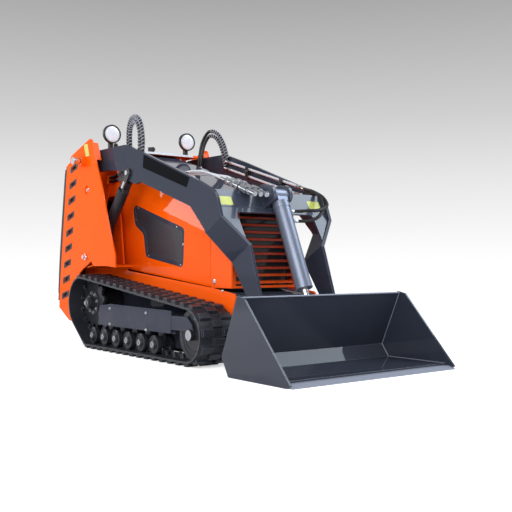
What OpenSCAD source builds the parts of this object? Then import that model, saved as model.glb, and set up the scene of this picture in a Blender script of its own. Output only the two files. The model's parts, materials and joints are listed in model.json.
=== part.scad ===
// Compact track loader with front bucket. Millimetres, X forward, Y left, Z up.
// Origin: on the ground, at the middle of the overall length and width.

/* [Bucket] */
// Width over the side plates
bucket_width = 1100; // [900:5:1400]
// Thickness of the bucket's side plates
bucket_side_t = 10; // [6:1:14]
// Thickness of the rolled bucket shell
bucket_shell_t = 9; // [6:1:14]
// Fore and aft size of the bolted cutting edge
edge_depth = 95; // [60:5:120]
// Thickness of the cutting edge
edge_t = 16; // [10:1:25]

/* [Tracks] */
// Width of one rubber track
track_width = 222; // [180:2:280]
// Thickness of the belt
belt_t = 10; // [8:1:14]
// Height of the tread lugs
lug_h = 18; // [14:1:24]
// Number of lugs in each row of a track
lug_count = 42; // [36:1:48]
// Height of the inner guide horns
horn_h = 26; // [16:1:28]
// Diameter of a bottom roller
roller_d = 108; // [80:1:112]
// Distance between neighbouring rollers
roller_pitch = 159; // [125:1:160]

/* [Body] */
// Half width of the engine housing
body_half = 235; // [195:1:240]
// Width of each sloped shoulder of the hood, seen from above
shoulder_w = 45; // [30:1:70]
// Thickness of the housing's sheets
sheet_t = 5; // [3:1:8]
// Vertical distance between louvre slats
louvre_pitch = 40; // [34:1:50]

/* [Towers] */
// Width of the deck between the housing and a side plate's outer face
deck_w = 52; // [44:1:60]
// Thickness of the tower's outer plate
tower_t = 10; // [6:1:14]
// Thickness of the chassis side plates
side_t = 10; // [6:1:14]
// Number of slanted slots in a tower
slot_count = 9; // [5:1:9]

/* [Lift arms] */
// Thickness of the arm plates
arm_t = 18; // [12:1:20]
// Diameter of the arm's pivot pin
pivot_pin_d = 50; // [35:1:60]
// Diameter of the bucket's hinge pins
hinge_pin_d = 36; // [25:1:45]

/* [Cylinders] */
// Outer diameter of a lift cylinder's barrel
lift_barrel_d = 72; // [56:1:76]
// Diameter of a lift cylinder's rod
lift_rod_d = 34; // [25:1:40]
// Outer diameter of the tilt cylinder's barrel
tilt_barrel_d = 90; // [70:1:92]
// Diameter of the tilt cylinder's rod
tilt_rod_d = 38; // [30:1:50]

/* [Hidden] */
$fn = 40;
gap = 0.3;             // running and seating clearance

ORANGE = [1.0, 0.40, 0.13];
SLATE = [0.27, 0.29, 0.34];
BLACK = [0.08, 0.08, 0.09];
STEEL = [0.75, 0.76, 0.78];

// Joint centres in the XZ plane
arm_pivot = [-918, 1231];
bucket_hinge = [780, 165];
lift_top = [-416, 1112];
lift_base = [-890, 593];
tilt_top = [583, 921];
tilt_end = [847, 300];

// Chain of widths: housing, deck, side plate, lift cylinder, arm, tower
side_out = body_half + deck_w;
lift_y = side_out + 57 + lift_barrel_d / 2;    // middle plane of a lift cylinder and of the arm plate
arm_out = lift_y + arm_t / 2;
arm_low_out = body_half + 27;                  // the arms run closer together at the bucket
tower_out = arm_out + 59 + tower_t;
track_mid = side_out + 5 + track_width / 2;    // middle plane of a track
roof_half = body_half - shoulder_w;

// ---------- 2D helpers ----------
function unit(v) = v / norm(v);
function xy(p) = [p[0], p[1]];
// Points of a corner rounded to radius r, or less where its edges are short
function corner(a, b, c, r_max, n = 5) =
  r_max <= 0 ? [b] :
  let (u = unit(a - b), v = unit(c - b), half = acos(u * v) / 2,
       r = min(r_max, 0.47 * min(norm(a - b), norm(c - b)) * tan(half)),
       m = b + unit(u + v) * r / sin(half), s = b + u * r / tan(half), e = b + v * r / tan(half),
       a0 = atan2(s[1] - m[1], s[0] - m[0]), a1 = atan2(e[1] - m[1], e[0] - m[0]),
       turn = (a1 - a0 + 540) % 360 - 180)
  [for (i = [0 : n]) m + r * [cos(a0 + turn * i / n), sin(a0 + turn * i / n)]];
// Closed outline from rows of [x, z, corner radius]
function rounded(rows) = let (n = len(rows))
  [for (i = [0 : n - 1]) each corner(xy(rows[(i + n - 1) % n]), xy(rows[i]),
    xy(rows[(i + 1) % n]), rows[i][2])];
// Outline of a bent sheet: an open line thickened by t to its left
function left_of(a, b) = let (d = unit(b - a)) [-d[1], d[0]];
function miter(p, i, t) = let (n = len(p) - 1,
    m = left_of(p[max(i - 1, 0)], p[max(i, 1)]), k = left_of(p[min(i, n - 1)], p[min(i + 1, n)]))
  p[i] + t * (m + k) / (1 + m * k);
function sheet(p, t) = concat(p, [for (i = [len(p) - 1 : -1 : 0]) miter(p, i, t)]);
function arc_points(c, r, a0, a1, n) = [for (i = [0 : n]) c + r * [cos(a0 + (a1 - a0) * i / n),
  sin(a0 + (a1 - a0) * i / n)]];

// ---------- 3D helpers ----------
// A plate drawn in XZ, its outer face y_out from the middle; side is -1 right or 1 left
module side_sheet(side, y_out, t) {
  translate([0, side > 0 ? y_out : t - y_out, 0]) rotate([90, 0, 0]) linear_extrude(t) children();
}
// A shape drawn in XZ across the machine from y0 to y1
module across(y0, y1) {
  translate([0, y1, 0]) rotate([90, 0, 0]) linear_extrude(y1 - y0) children();
}
// A round bar across the machine at c = [x, z]; near and far are distances from the middle
module side_bar(side, c, near, far, d) {
  translate([c[0], side > 0 ? far : -near, c[1]]) rotate([90, 0, 0]) cylinder(d = d, h = far - near);
}
module bar_y(c, y0, y1, d) {
  translate([c[0], y1, c[1]]) rotate([90, 0, 0]) cylinder(d = d, h = y1 - y0);
}
// Along the line from a to b in the XZ plane at height y: X of the children runs from a to b
module along(a, b, y) {
  translate([a[0], y, a[1]]) rotate([0, -atan2(b[1] - a[1], b[0] - a[0]), 0]) children();
}
module rod_x(x0, x1, d) {
  translate([x0, 0, 0]) rotate([0, 90, 0]) cylinder(d = d, h = x1 - x0);
}
// A bent tube through points in space
function ring_frame(p, i) = let (n = len(p) - 1,
    d = unit(p[min(i + 1, n)] - p[max(i - 1, 0)]),
    s = abs(d[2]) > 0.9 ? unit(cross(d, [0, 1, 0])) : unit(cross(d, [0, 0, 1])))
  [s, cross(d, s)];
module tube_along(p, d, sides = 8) {
  n = len(p);
  pts = [for (i = [0 : n - 1]) let (f = ring_frame(p, i))
    for (k = [0 : sides - 1]) p[i] + d / 2 * (f[0] * cos(360 * k / sides) + f[1] * sin(360 * k / sides))];
  faces = concat([[for (k = [0 : sides - 1]) k]],
    [for (i = [0 : n - 2]) for (k = [0 : sides - 1]) [i * sides + k, (i + 1) * sides + k,
      (i + 1) * sides + (k + 1) % sides, i * sides + (k + 1) % sides]],
    [[for (k = [sides - 1 : -1 : 0]) (n - 1) * sides + k]]);
  polyhedron(pts, faces);
}
// Smooth curve through hand-picked points (Catmull-Rom), n steps between two
function spline_at(a, b, c, d, t) = 0.5 * (2 * b + (c - a) * t + (2 * a - 5 * b + 4 * c - d) * t * t
  + (3 * b - a - 3 * c + d) * t * t * t);
function spline(p, n) = let (m = len(p) - 1) concat([for (i = [0 : m - 1]) for (k = [0 : n - 1])
  spline_at(p[max(i - 1, 0)], p[i], p[i + 1], p[min(i + 2, m)], k / n)], [p[m]]);

// ---------- Bucket ----------
lip_x = 1355;
floor_z = edge_t + gap + bucket_shell_t;   // top of the bucket's floor
// inner face of the rolled shell: floor front, heel, foot and top of the back wall
shell_line = [[lip_x - edge_depth + 28, floor_z], [889, floor_z], [841, 92], [973, 383]];
bucket_back = [miter(shell_line, 2, bucket_shell_t), miter(shell_line, 3, bucket_shell_t)];
back_dir = unit(bucket_back[1] - bucket_back[0]);
back_out = [-back_dir[1], back_dir[0]];   // points rearward from the back wall
module bucket_shell() color(SLATE) {
  inner = bucket_width / 2 - bucket_side_t;
  // floor, heel and back in one bent sheet; thickness goes outward
  across(-inner, inner) polygon(sheet(shell_line, bucket_shell_t));
  side_line = rounded([[958, 392, 6], [1015, 379, 26], [lip_x - 6, 14, 3], [lip_x - 30, 0, 0],
    [883, 0, 12], [829, 92, 10]]);
  for (s = [-1, 1]) side_sheet(s, bucket_width / 2, bucket_side_t) polygon(side_line);
}
module cutting_edge() color(STEEL) {
  edge_half = bucket_width / 2 - bucket_side_t - gap;
  // a flat bar under the front of the floor, ground to a chisel at the lip
  across(-edge_half, edge_half)
    polygon([[lip_x - edge_depth, 0], [lip_x - edge_depth, edge_t], [lip_x - 40, edge_t], [lip_x, 4], [lip_x, 0]]);
}
// Attachment plate on the bucket's back, with hinge ears and the tilt ears
function back_point(along_back, off) = bucket_back[0] + along_back * back_dir + off * back_out;
module coupler_plate() color(SLATE) {
  plate_t = 14;
  seat = 0.4;
  half = 330;
  // plate with a window behind the tilt rod's eye
  difference() {
    across(-half, half) polygon([back_point(12, seat), back_point(300, seat),
      back_point(300, seat + plate_t), back_point(12, seat + plate_t)]);
    across(-24, 24) polygon([back_point(130, seat - 5), back_point(250, seat - 5),
      back_point(250, seat + plate_t + 5), back_point(130, seat + plate_t + 5)]);
  }
  ear = rounded([[back_point(10, seat + 2)[0], back_point(10, seat + 2)[1], 0],
    [back_point(200, seat + 2)[0], back_point(200, seat + 2)[1], 0],
    [bucket_hinge[0] - 6, bucket_hinge[1] + 58, 30], [bucket_hinge[0] - 58, bucket_hinge[1] - 10, 34],
    [bucket_hinge[0] - 6, bucket_hinge[1] - 62, 30]]);
  for (s = [-1, 1]) {
    for (y_out = [arm_low_out + 22, arm_low_out - arm_t - 6])
      side_sheet(s, y_out, 16) polygon(ear);
    side_bar(s, bucket_hinge, arm_low_out - arm_t - 21, arm_low_out + 30, hinge_pin_d);
    side_bar(s, bucket_hinge, arm_low_out + 22, arm_low_out + 34, hinge_pin_d + 16);
  }
  tilt_ear = rounded([[back_point(120, seat + 2)[0], back_point(120, seat + 2)[1], 0],
    [back_point(290, seat + 2)[0], back_point(290, seat + 2)[1], 0],
    [tilt_end[0] - 2, tilt_end[1] + 44, 24], [tilt_end[0] - 44, tilt_end[1] + 2, 30],
    [tilt_end[0] - 6, tilt_end[1] - 48, 24]]);
  for (s = [-1, 1]) difference() {
    side_sheet(s, 42, 14) polygon(tilt_ear);
    side_bar(s, tilt_end, 20, 50, 30.6);
  }
}

// ---------- Lift arms ----------
fold_angle = 30;           // the folds' rise towards the front
bend_dir = [cos(fold_angle), sin(fold_angle)];
bend_1 = [590, 793];       // a point of the upper fold
bend_2 = [668, 641];       // a point of the lower fold
arm_outline = rounded([[-990, 1231, 60], [-975, 1300, 60], [-840, 1303, 60], [-470, 1296, 120],
  [-232, 1218, 0], [364, 1002, 60], [541, 926, 90], [590, 793, 60], [668, 641, 70], [758, 373, 40],
  [832, 165, 44], [780, 112, 50], [728, 165, 44], [642, 369, 90], [506, 558, 60], [440, 722, 90],
  [291, 862, 60], [-278, 1046, 12], [-335, 1036, 18], [-400, 1056, 30], [-470, 1078, 40], [-478, 1128, 20],
  [-702, 1158, 0], [-975, 1162, 60]]);
// Position across the folds, measured square to them in the XZ plane
fold_n = [bend_dir[1], -bend_dir[0]];
fold_1 = bend_1 * fold_n;
fold_2 = bend_2 * fold_n;
module arm(side) color(SLATE) {
  difference() {
    intersection() {
      across(-420, 420) polygon(arm_outline);
      // the folded plate, drawn square to its folds: [distance across the folds, y]
      rotate([0, 90 - fold_angle, 0]) translate([0, 0, -1600]) linear_extrude(4000)
        polygon([for (p = sheet([[-2400, arm_out], [fold_1, arm_out], [fold_2, arm_low_out],
          [1500, arm_low_out]], -arm_t)) [p[0], side * p[1]]]);
    }
    side_bar(side, arm_pivot, arm_out - 60, arm_out + 20, pivot_pin_d + 2 * gap);
    side_bar(side, bucket_hinge, arm_low_out - 60, arm_low_out + 20, hinge_pin_d + 2 * gap);
  }
  // pivot boss
  difference() {
    side_bar(side, arm_pivot, arm_out - arm_t - 22, arm_out + 14, pivot_pin_d + 36);
    side_bar(side, arm_pivot, arm_out - arm_t - 30, arm_out + 20, pivot_pin_d + 2 * gap);
  }
}
plate_top = [492, 938];      // leaning front plate between the arms, upper and lower edge
plate_foot = [574, 800];
module arm_crossmember() color(SLATE) {
  inner = arm_out - arm_t - gap;
  d = unit(plate_foot - plate_top);
  drop = norm(plate_foot - plate_top);
  // the plate drawn as [y, distance down it]: two halves beside the tilt cylinder, joined below
  leg = inner - 104;       // its outer edges run down along the folds of the arms
  half = rounded([[0, 96, 0], [80, 96, 20], [86, 0, 36], [inner, 0, 0], [inner, drop + 4, 0], [leg, drop + 140, 0],
    [leg, drop - 27, 26], [0, drop - 27, 0]]);
  multmatrix([[0, d[0], -d[1], plate_top[0] - 11], [1, 0, 0, 0], [0, d[1], d[0], plate_top[1] - 7], [0, 0, 0, 1]])
    linear_extrude(12) for (s = [-1, 1]) polygon([for (p = half) [s * p[0], p[1]]]);
  // box beam behind it
  across(-inner, inner) difference() {
    polygon([[474, 866], [474, 944], [490, 944], [546, 850], [524, 842]]);
    polygon([[482, 870], [482, 936], [486, 936], [534, 854], [522, 850]]);
  }
  // ears for the tilt cylinder
  ear = rounded([[tilt_top[0] + 50, tilt_top[1] - 22, 44], [tilt_top[0] + 34, tilt_top[1] + 52, 46],
    [506, 984, 40], [474, 940, 0], [500, 870, 0], [545, 850, 0], [tilt_top[0] + 2, tilt_top[1] - 50, 30]]);
  for (s = [-1, 1]) side_sheet(s, 66, 18) polygon(ear);
  bar_y(tilt_top, -72, 72, 32);
  for (s = [-1, 1]) side_bar(s, tilt_top, 66, 76, 44);
}

// ---------- Cylinders ----------
module lift_barrel(side) color(BLACK) {
  reach = norm(lift_top - lift_base);
  along(lift_base, lift_top, side * lift_y) difference() {
    union() {
      rod_x(20, reach - 131, lift_barrel_d);
      rod_x(reach - 163, reach - 131, lift_barrel_d + 4);
      translate([0, 16, 0]) rotate([90, 0, 0]) cylinder(d = 64, h = 32);
      translate([44, -10, lift_barrel_d / 2 - 6]) cylinder(d = 22, h = 16);
    }
    translate([0, 30, 0]) rotate([90, 0, 0]) cylinder(d = 30 + 2 * gap, h = 60);
    rod_x(reach - 550, reach - 125, lift_rod_d + 2 * gap);
  }
}
module lift_rod(side) color(STEEL) {
  reach = norm(lift_top - lift_base);
  along(lift_base, lift_top, side * lift_y) {
    rod_x(reach - 546, reach - 110, lift_rod_d);
    rod_x(reach - 118, reach - 66, 52);
    // clevis cheeks on both faces of the arm plate, each with the stub of its pin
    for (s = [-1, 1]) translate([0, s * (arm_t / 2 + gap + 7), 0]) {
      rotate([90, 0, 0]) linear_extrude(14, center = true)
        polygon(rounded([[reach - 118, -26, 0], [reach + 27, -26, 27], [reach + 27, 26, 27], [reach - 118, 26, 0]]));
      translate([reach, s * 12, 0]) rotate([90, 0, 0]) cylinder(d = 30, h = 12, center = true);
    }
  }
}
port_at = [97, 157];         // hose ports on the tilt barrel, from its pin
tilt_barrel_end = 555;
module tilt_barrel() color(SLATE) {
  along(tilt_top, tilt_end, 0) difference() {
    union() {
      rod_x(46, tilt_barrel_end, tilt_barrel_d);
      rod_x(64, 84, tilt_barrel_d + 6);
      rod_x(tilt_barrel_end - 34, tilt_barrel_end, tilt_barrel_d + 4);
      translate([0, 46, 0]) rotate([90, 0, 0]) cylinder(d = 68, h = 92);
      translate([20, -34, -30]) cube([40, 68, 60]);
      for (x = port_at) translate([x, tilt_barrel_d / 2 + 12, 0]) rotate([90, 0, 0]) cylinder(d = 24, h = 20);
    }
    translate([0, 60, 0]) rotate([90, 0, 0]) cylinder(d = 32 + 2 * gap, h = 120);
    rod_x(225, tilt_barrel_end + 10, tilt_rod_d + 2 * gap);
  }
}
module tilt_rod() color(STEEL) {
  reach = norm(tilt_end - tilt_top);
  along(tilt_top, tilt_end, 0) {
    rod_x(286, reach - 16, tilt_rod_d);
    translate([reach, 18, 0]) rotate([90, 0, 0]) cylinder(d = 52, h = 36);
  }
}

// ---------- Hoses and tubes ----------
// Two strands on each side leave the tower's inner plate, arch over the arm root and come down
// inside the arm onto its steel tubes; the two sides arch at different places
hose_d = 22;
tube_d = 16;
tube_slope = [0.957, -0.29];
tube_start = [[-262, 1191], [-383, 1228]];     // right and left arm
second_tube = [-14, -44];                      // from the first tube to the one below
far_loop = [[[-860, 1126], [-780, 1136], [-712, 1180], [-690, 1280], [-672, 1400], [-616, 1474], [-530, 1450],
    [-460, 1360], [-424, 1270]],
  [[-860, 1100], [-770, 1108], [-684, 1160], [-662, 1280], [-644, 1380], [-604, 1442], [-545, 1418],
    [-490, 1340], [-452, 1240]]];
near_loop = [[[-860, 1126], [-770, 1130], [-680, 1152], [-606, 1204], [-580, 1300], [-558, 1400], [-502, 1462],
    [-424, 1476], [-345, 1444], [-304, 1370], [-293, 1290]],
  [[-860, 1100], [-762, 1103], [-664, 1122], [-576, 1180], [-550, 1296], [-528, 1384], [-488, 1430],
    [-424, 1444], [-368, 1418], [-338, 1356], [-336, 1270]]];
module hose_loop(side) color(BLACK) {
  in_y = side_out + hose_d / 2 + gap;
  out_y = arm_out - arm_t - hose_d / 2 - 3 * gap;
  for (k = [0, 1]) let (foot = tube_start[side > 0 ? 1 : 0] + k * second_tube,
      line = concat((side > 0 ? far_loop : near_loop)[k],
        [foot - 44 * tube_slope, foot - 22 * tube_slope, foot - 3 * tube_slope]),
      n = len(line) - 1)
    tube_along(spline([for (i = [0 : n]) let (t = 0.5 - 0.5 * cos(180 * min(1, max(0, (i - 2) / (n - 6)))))
      [line[i][0], side * ((1 - t) * in_y + t * out_y), line[i][1]]], 3), hose_d);
}
tube_end = [300, 1018];
tube_y = arm_out - arm_t - tube_d / 2 - gap;   // the tubes lie on the arms' inner faces
module arm_tubes() color(STEEL) {
  for (s = [-1, 1]) for (k = [0, 1]) let (a = tube_start[s > 0 ? 1 : 0] + k * second_tube,
      b = tube_end + k * second_tube)
    tube_along([for (q = [a, a + 40 * tube_slope, b - 40 * tube_slope, b]) [q[0], s * tube_y, q[1]]], tube_d);
  // feed lines of the quick couplers, rising from the right arm
  back = coupler_at - 177 * [cos(coupler_fall), -sin(coupler_fall)];
  for (k = [0 : 2]) let (y = coupler_y[k])
    tube_along(spline([[back[0], y, back[1]], [back[0] - 60, y - 4, back[1] + 20],
      [205 - 34 * k, y - 60, 1072 - 4 * k], [150 - 40 * k, -tube_y + 14, 1060],
      [130 - 40 * k, -tube_y, 1030 + 6 * k], [132 - 40 * k, -tube_y, 1000 + 6 * k]], 3), 14);
}
coupler_y = [-204, -166, -128];
coupler_at = [492, 966];           // where they cross the plate's upper edge, falling to the front
coupler_fall = 19.5;
module quick_couplers() color(STEEL) {
  for (y = coupler_y) translate([coupler_at[0], y, coupler_at[1]]) rotate([0, coupler_fall, 0]) {
    rod_x(-176, -120, 20);
    rod_x(-120, -70, 30);
    rod_x(-70, 20, 26);
    rod_x(20, 100, 36);
    rod_x(100, 160, 26);
  }
  // saddle on the beam
  translate([474, coupler_y[0] - 20, 944 + gap]) cube([16, coupler_y[2] - coupler_y[0] + 40, 22]);
}
// From the arm tubes' front ends, looping out ahead of the arm and back to the cylinder's ports
tilt_hose_d = 18;
function on_tilt(x) = tilt_top + x * unit(tilt_end - tilt_top);
module tilt_hoses() color(BLACK) {
  y0 = arm_out - arm_t - tilt_hose_d / 2 - 4 * gap;
  port_y = tilt_barrel_d / 2 + 15;
  for (k = [0, 1]) let (port = on_tilt(port_at[k]))
    tube_along(spline([[tube_end[0] + 14 - 14 * k, y0, tube_end[1] - 4 - 44 * k], [384, y0, 990 - 32 * k],
      [470, y0 - 8, 968 - 8 * k],
      [560, y0 - 14 - 20 * k, 928], [640, y0 - 54 - 30 * k, 874 - 12 * k], [672, 0.61 * y0, 842 - 34 * k],
      [660 + 6 * k, (port_y + 0.72 * y0) / 2, port[1] + 6], [port[0] + 4, port_y + 26, port[1] + 1],
      [port[0], port_y, port[1]]], 3), tilt_hose_d);
}

// ---------- Chassis ----------
strip_low = [[-812, 447], [-402, 403], [150, 338], [430, 305], [526, 226]];   // side plate's lower edge
sprocket_c = [-877, 288];
idler_c = [432, 166];
roller_0 = [-784, lug_h + belt_t + roller_d / 2];
belt_out_r = 174;
arch = arc_points([-848, 280], 254, 104, 198, 10);
arch_in = arc_points(sprocket_c, 150, 200, 100, 8);   // in the side plate, around the final drive
tower_outline = concat(rounded([[-1161, 1284, 30], [-918, 1352, 14], [-836, 1374, 12], [-808, 1362, 8],
  [-743, 1204, 30], [-659, 1037, 30], [-577, 824, 30], [-526, 702, 30], [-479, 605, 60],
  [-474, 524, 0], [-598, 533, 30], [-800, 533, 60]]), arch,
  [[-1085, 190], [-1130, 154], [-1174, 160], [-1338, 241], [-1331, 370], [-1298, 590], [-1258, 856],
   [-1200, 1233]]);
module slot_shape() {
  polygon(rounded([[-44, -30, 9], [42, -8, 9], [44, 27, 9], [-40, 5, 9]]));
}
slot_first = [-1086, 1206];
slot_last = [-1232, 334];
eye_hole = [-885, 1038];
eye_hole_d = 60;
module tower(side) color(ORANGE) {
  inside = side_out + gap;
  difference() {
    side_sheet(side, tower_out, tower_t) difference() {
      polygon(tower_outline);
      for (i = [0 : slot_count - 1])
        translate(slot_first + (slot_last - slot_first) * i / (slot_count - 1)) slot_shape();
    }
    side_bar(side, arm_pivot, tower_out - 60, tower_out + 10, pivot_pin_d + 2 * gap);
    side_bar(side, lift_base, tower_out - 60, tower_out + 10, 30 + 2 * gap);
    side_bar(side, eye_hole, tower_out - 60, tower_out + 10, eye_hole_d);
  }
  // turned-in front flange at the tip
  side_sheet(side, tower_out - tower_t, 34)
    polygon([[-817, 1345], [-803, 1345], [-752, 1226], [-766, 1226]]);
  // fender shelf over the sprocket, down to the side plate
  side_sheet(side, tower_out - tower_t, tower_out - tower_t - inside)
    polygon(sheet([[-490, 528], [-598, 537], [-800, 537], [-900, 520]], -6));
  difference() {
    union() {
      side_bar(side, arm_pivot, tower_out - tower_t - 34, tower_out - tower_t, pivot_pin_d + 30);
      side_bar(side, arm_pivot, tower_out, tower_out + 34, pivot_pin_d + 14);
    }
    side_bar(side, arm_pivot, tower_out - 60, tower_out + 40, pivot_pin_d + 2 * gap);
  }
}
side_outline = concat(rounded([[578, 362, 0], [562, 384, 8], [345, 411, 0], [-640, 503, 0], [-690, 548, 30],
  [-736, 857, 60], [-778, 992, 30], [-758, 1104, 60], [-800, 1210, 60], [-846, 1300, 30],
  [-1100, 1300, 40], [-1161, 1240, 30], [-1220, 856, 0], [-1296, 370, 0], [-1300, 250, 0],
  [-1174, 165, 0], [-1130, 158, 0], [-1085, 194, 0]]),
  arch_in, strip_low);
module side_plate(side) color(ORANGE) {
  difference() {
    side_sheet(side, side_out, side_t) difference() {
      polygon(side_outline);
      polygon(rounded([[-870, 1120, 30], [-800, 1120, 30], [-790, 930, 40], [-830, 745, 44],
        [-930, 745, 44], [-960, 930, 40]]));
    }
    side_bar(side, arm_pivot, side_out - 40, side_out + 20, pivot_pin_d + 2 * gap);
  }
  difference() {
    side_bar(side, arm_pivot, side_out, side_out + 40, pivot_pin_d + 30);
    side_bar(side, arm_pivot, side_out - 10, side_out + 60, pivot_pin_d + 2 * gap);
  }
  // block that holds the hoses' rear ends
  translate([-885, side > 0 ? side_out - 2 : -side_out - 30, 1084]) cube([24 - gap, 32, 58]);
}
module chassis_tub() color(SLATE) {
  half = side_out - side_t - gap;
  wall = 8;
  // floor, front plate and rear wall in one bent sheet
  across(-half, half) polygon(sheet([[560, 372], [470, 140], [-1150, 140], [-1240, 300], [-1240, 500]], -wall));
  // inner side walls under the fender line
  for (s = [-1, 1]) side_sheet(s, body_half, wall)
    polygon([[548, 364], [466, 148], [-1144, 148], [-1180, 240], [-1180, 480], [-640, 492], [345, 396], [470, 384]]);
  // top deck ahead of and below the engine housing
  for (s = [-1, 1]) side_sheet(s, half, half - body_half)
    polygon([[548, 364], [556, 372], [345, 399], [-640, 491], [-640, 483], [345, 391]]);
  across(-body_half + wall, body_half - wall)
    polygon([[548, 364], [556, 372], [470, 384], [300, 402], [300, 394], [466, 376]]);
}
module pivot_pins() color(STEEL) {
  for (s = [-1, 1]) {
    side_bar(s, arm_pivot, side_out - side_t, tower_out + 29, pivot_pin_d);
    side_bar(s, arm_pivot, tower_out + 29, tower_out + 78, 34);
    side_bar(s, arm_pivot, tower_out + 78, tower_out + 86, 50);
    // base pin of the lift cylinder, from the side plate out through the tower
    side_bar(s, lift_base, side_out + gap, tower_out + gap, 30);
    side_bar(s, lift_base, tower_out + gap, tower_out + 12, 42);
    side_bar(s, lift_base, tower_out + 12, tower_out + 28, 26);
  }
}
module rear_panel() color(BLACK) {
  half = tower_out - tower_t - gap;
  line = [[-1204, 1226], [-1262, 856], [-1303, 590], [-1336, 370], [-1347, 290]];
  across(-tower_out, tower_out) polygon(sheet(line, -8));
  // side flanges inside the towers, behind the slots
  for (s = [-1, 1]) side_sheet(s, half, 6) polygon(concat(
    [for (p = line) p - [4, 0]], [[-1180, 290], [-1150, 370], [-1040, 1226]]));
}

// ---------- Console, lamps ----------
module control_console() color(ORANGE) {
  half = side_out - side_t - gap;
  across(-half, half) difference() {
    polygon([[-1150, 1000], [-820, 1000], [-820, 1303], [-960, 1303], [-990, 1310], [-1150, 1310]]);
    polygon([[-1142, 990], [-828, 990], [-828, 1295], [-960, 1295], [-990, 1302], [-1142, 1302]]);
  }
  for (s = [-1, 1]) side_sheet(s, half, 6)
    polygon([[-1142, 1002], [-828, 1002], [-828, 1298], [-960, 1298], [-990, 1304], [-1142, 1304]]);
  // cross plate that carries the lamps
  across(-side_out - 65, side_out + 65)
    polygon([[-957, 1303], [-749, 1303], [-741, 1292], [-735, 1296], [-745, 1311], [-957, 1311]]);
}
module control_levers() color(BLACK) {
  for (y = [-150, -60, 60, 150]) {
    translate([-1070, y, 1310 + gap]) cylinder(d = 30, h = 16);
    translate([-1070, y, 1310 + gap]) cylinder(d = 10, h = 60);
    translate([-1070, y, 1384]) sphere(d = 34);
  }
  // lock knob on the lamps' cross plate
  translate([-832, 0, 1311 + gap]) cylinder(d = 44, h = 43);
}
module work_lamps() color(BLACK) for (s = [-1, 1]) {
  c = [-850, s * (side_out + 9), 1420];
  translate(c) rotate([0, 90, 0]) rotate_extrude() polygon([[0, -34], [30, -34], [56, -8], [63, 0], [63, 20],
    [56, 22], [54, 14], [0, 18]]);
  translate([c[0] - 22, c[1] - 14, 1311 + gap]) cube([24, 28, 60]);
}

// ---------- Engine housing ----------
front_x = 466;
crease = [[-841, 1053], [front_x, 647]];   // fold between side and sloped shoulder
roof = [[-806, 1297], [front_x, 902]];
slope = unit(crease[1] - crease[0]);
lift_n = [-slope[1], slope[0]];
roof_n = (roof[0] - crease[0]) * lift_n;
function crease_z(x) = crease[0][1] + (x - crease[0][0]) * slope[1] / slope[0];
// Children are drawn in [y, height above the fold] and swept along the hood's slope
module swept_hood(x0, x1) {
  intersection() {
    across(-400, 400) polygon([[x0, 300], [x1, 300], [x1, 1500], [x0, 1500]]);
    multmatrix([[0, lift_n[0], slope[0], crease[1][0]], [1, 0, 0, 0], [0, lift_n[1], slope[1], crease[1][1]],
      [0, 0, 0, 1]]) translate([0, 0, -1500]) linear_extrude(1600) children();
  }
}
module hood_top() color(SLATE) {
  swept_hood(-820 + gap, front_x - sheet_t - gap) polygon(rounded([[-roof_half, roof_n - 8, 0],
    [-roof_half + 14, roof_n, 6], [roof_half - 14, roof_n, 6], [roof_half, roof_n - 8, 0],
    [roof_half - 4, roof_n - 14, 0], [-roof_half + 4, roof_n - 14, 0]]));
}
module hood_sides() color(ORANGE) {
  swept_hood(-820 + gap, front_x - sheet_t - gap) for (s = [-1, 1]) polygon([[s * body_half, 0.6],
    [s * roof_half, roof_n - 14 - gap], [s * (roof_half - sheet_t - 1), roof_n - 14 - gap],
    [s * (body_half - sheet_t - 1), 0.6]]);
}
window = rounded([[-667, 946, 40], [-16, 757, 36], [-32, 521, 30], [-489, 590, 34], [-519, 738, 46],
  [-632, 800, 50]]);
panel = rounded([[-776, 518, 20], [-838, 891, 80], [-800, crease_z(-800), 4], [262, crease_z(262), 4],
  [262, 414, 6]]);
module side_panel(side) color(ORANGE) {
  side_sheet(side, body_half, sheet_t) difference() {
    polygon(panel);
    polygon(window);
  }
}
module mesh_window(side) color(SLATE) {
  side_sheet(side, body_half - sheet_t - gap, 4) polygon(rounded([[-692, 968, 40], [6, 768, 40],
    [-10, 496, 30], [-512, 570, 40], [-544, 718, 50], [-656, 786, 50]]));
}
opening_half = body_half - 30;
opening_top = 842;
louvre_count = floor((opening_top - 30 - 439) / louvre_pitch) + 1;
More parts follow.
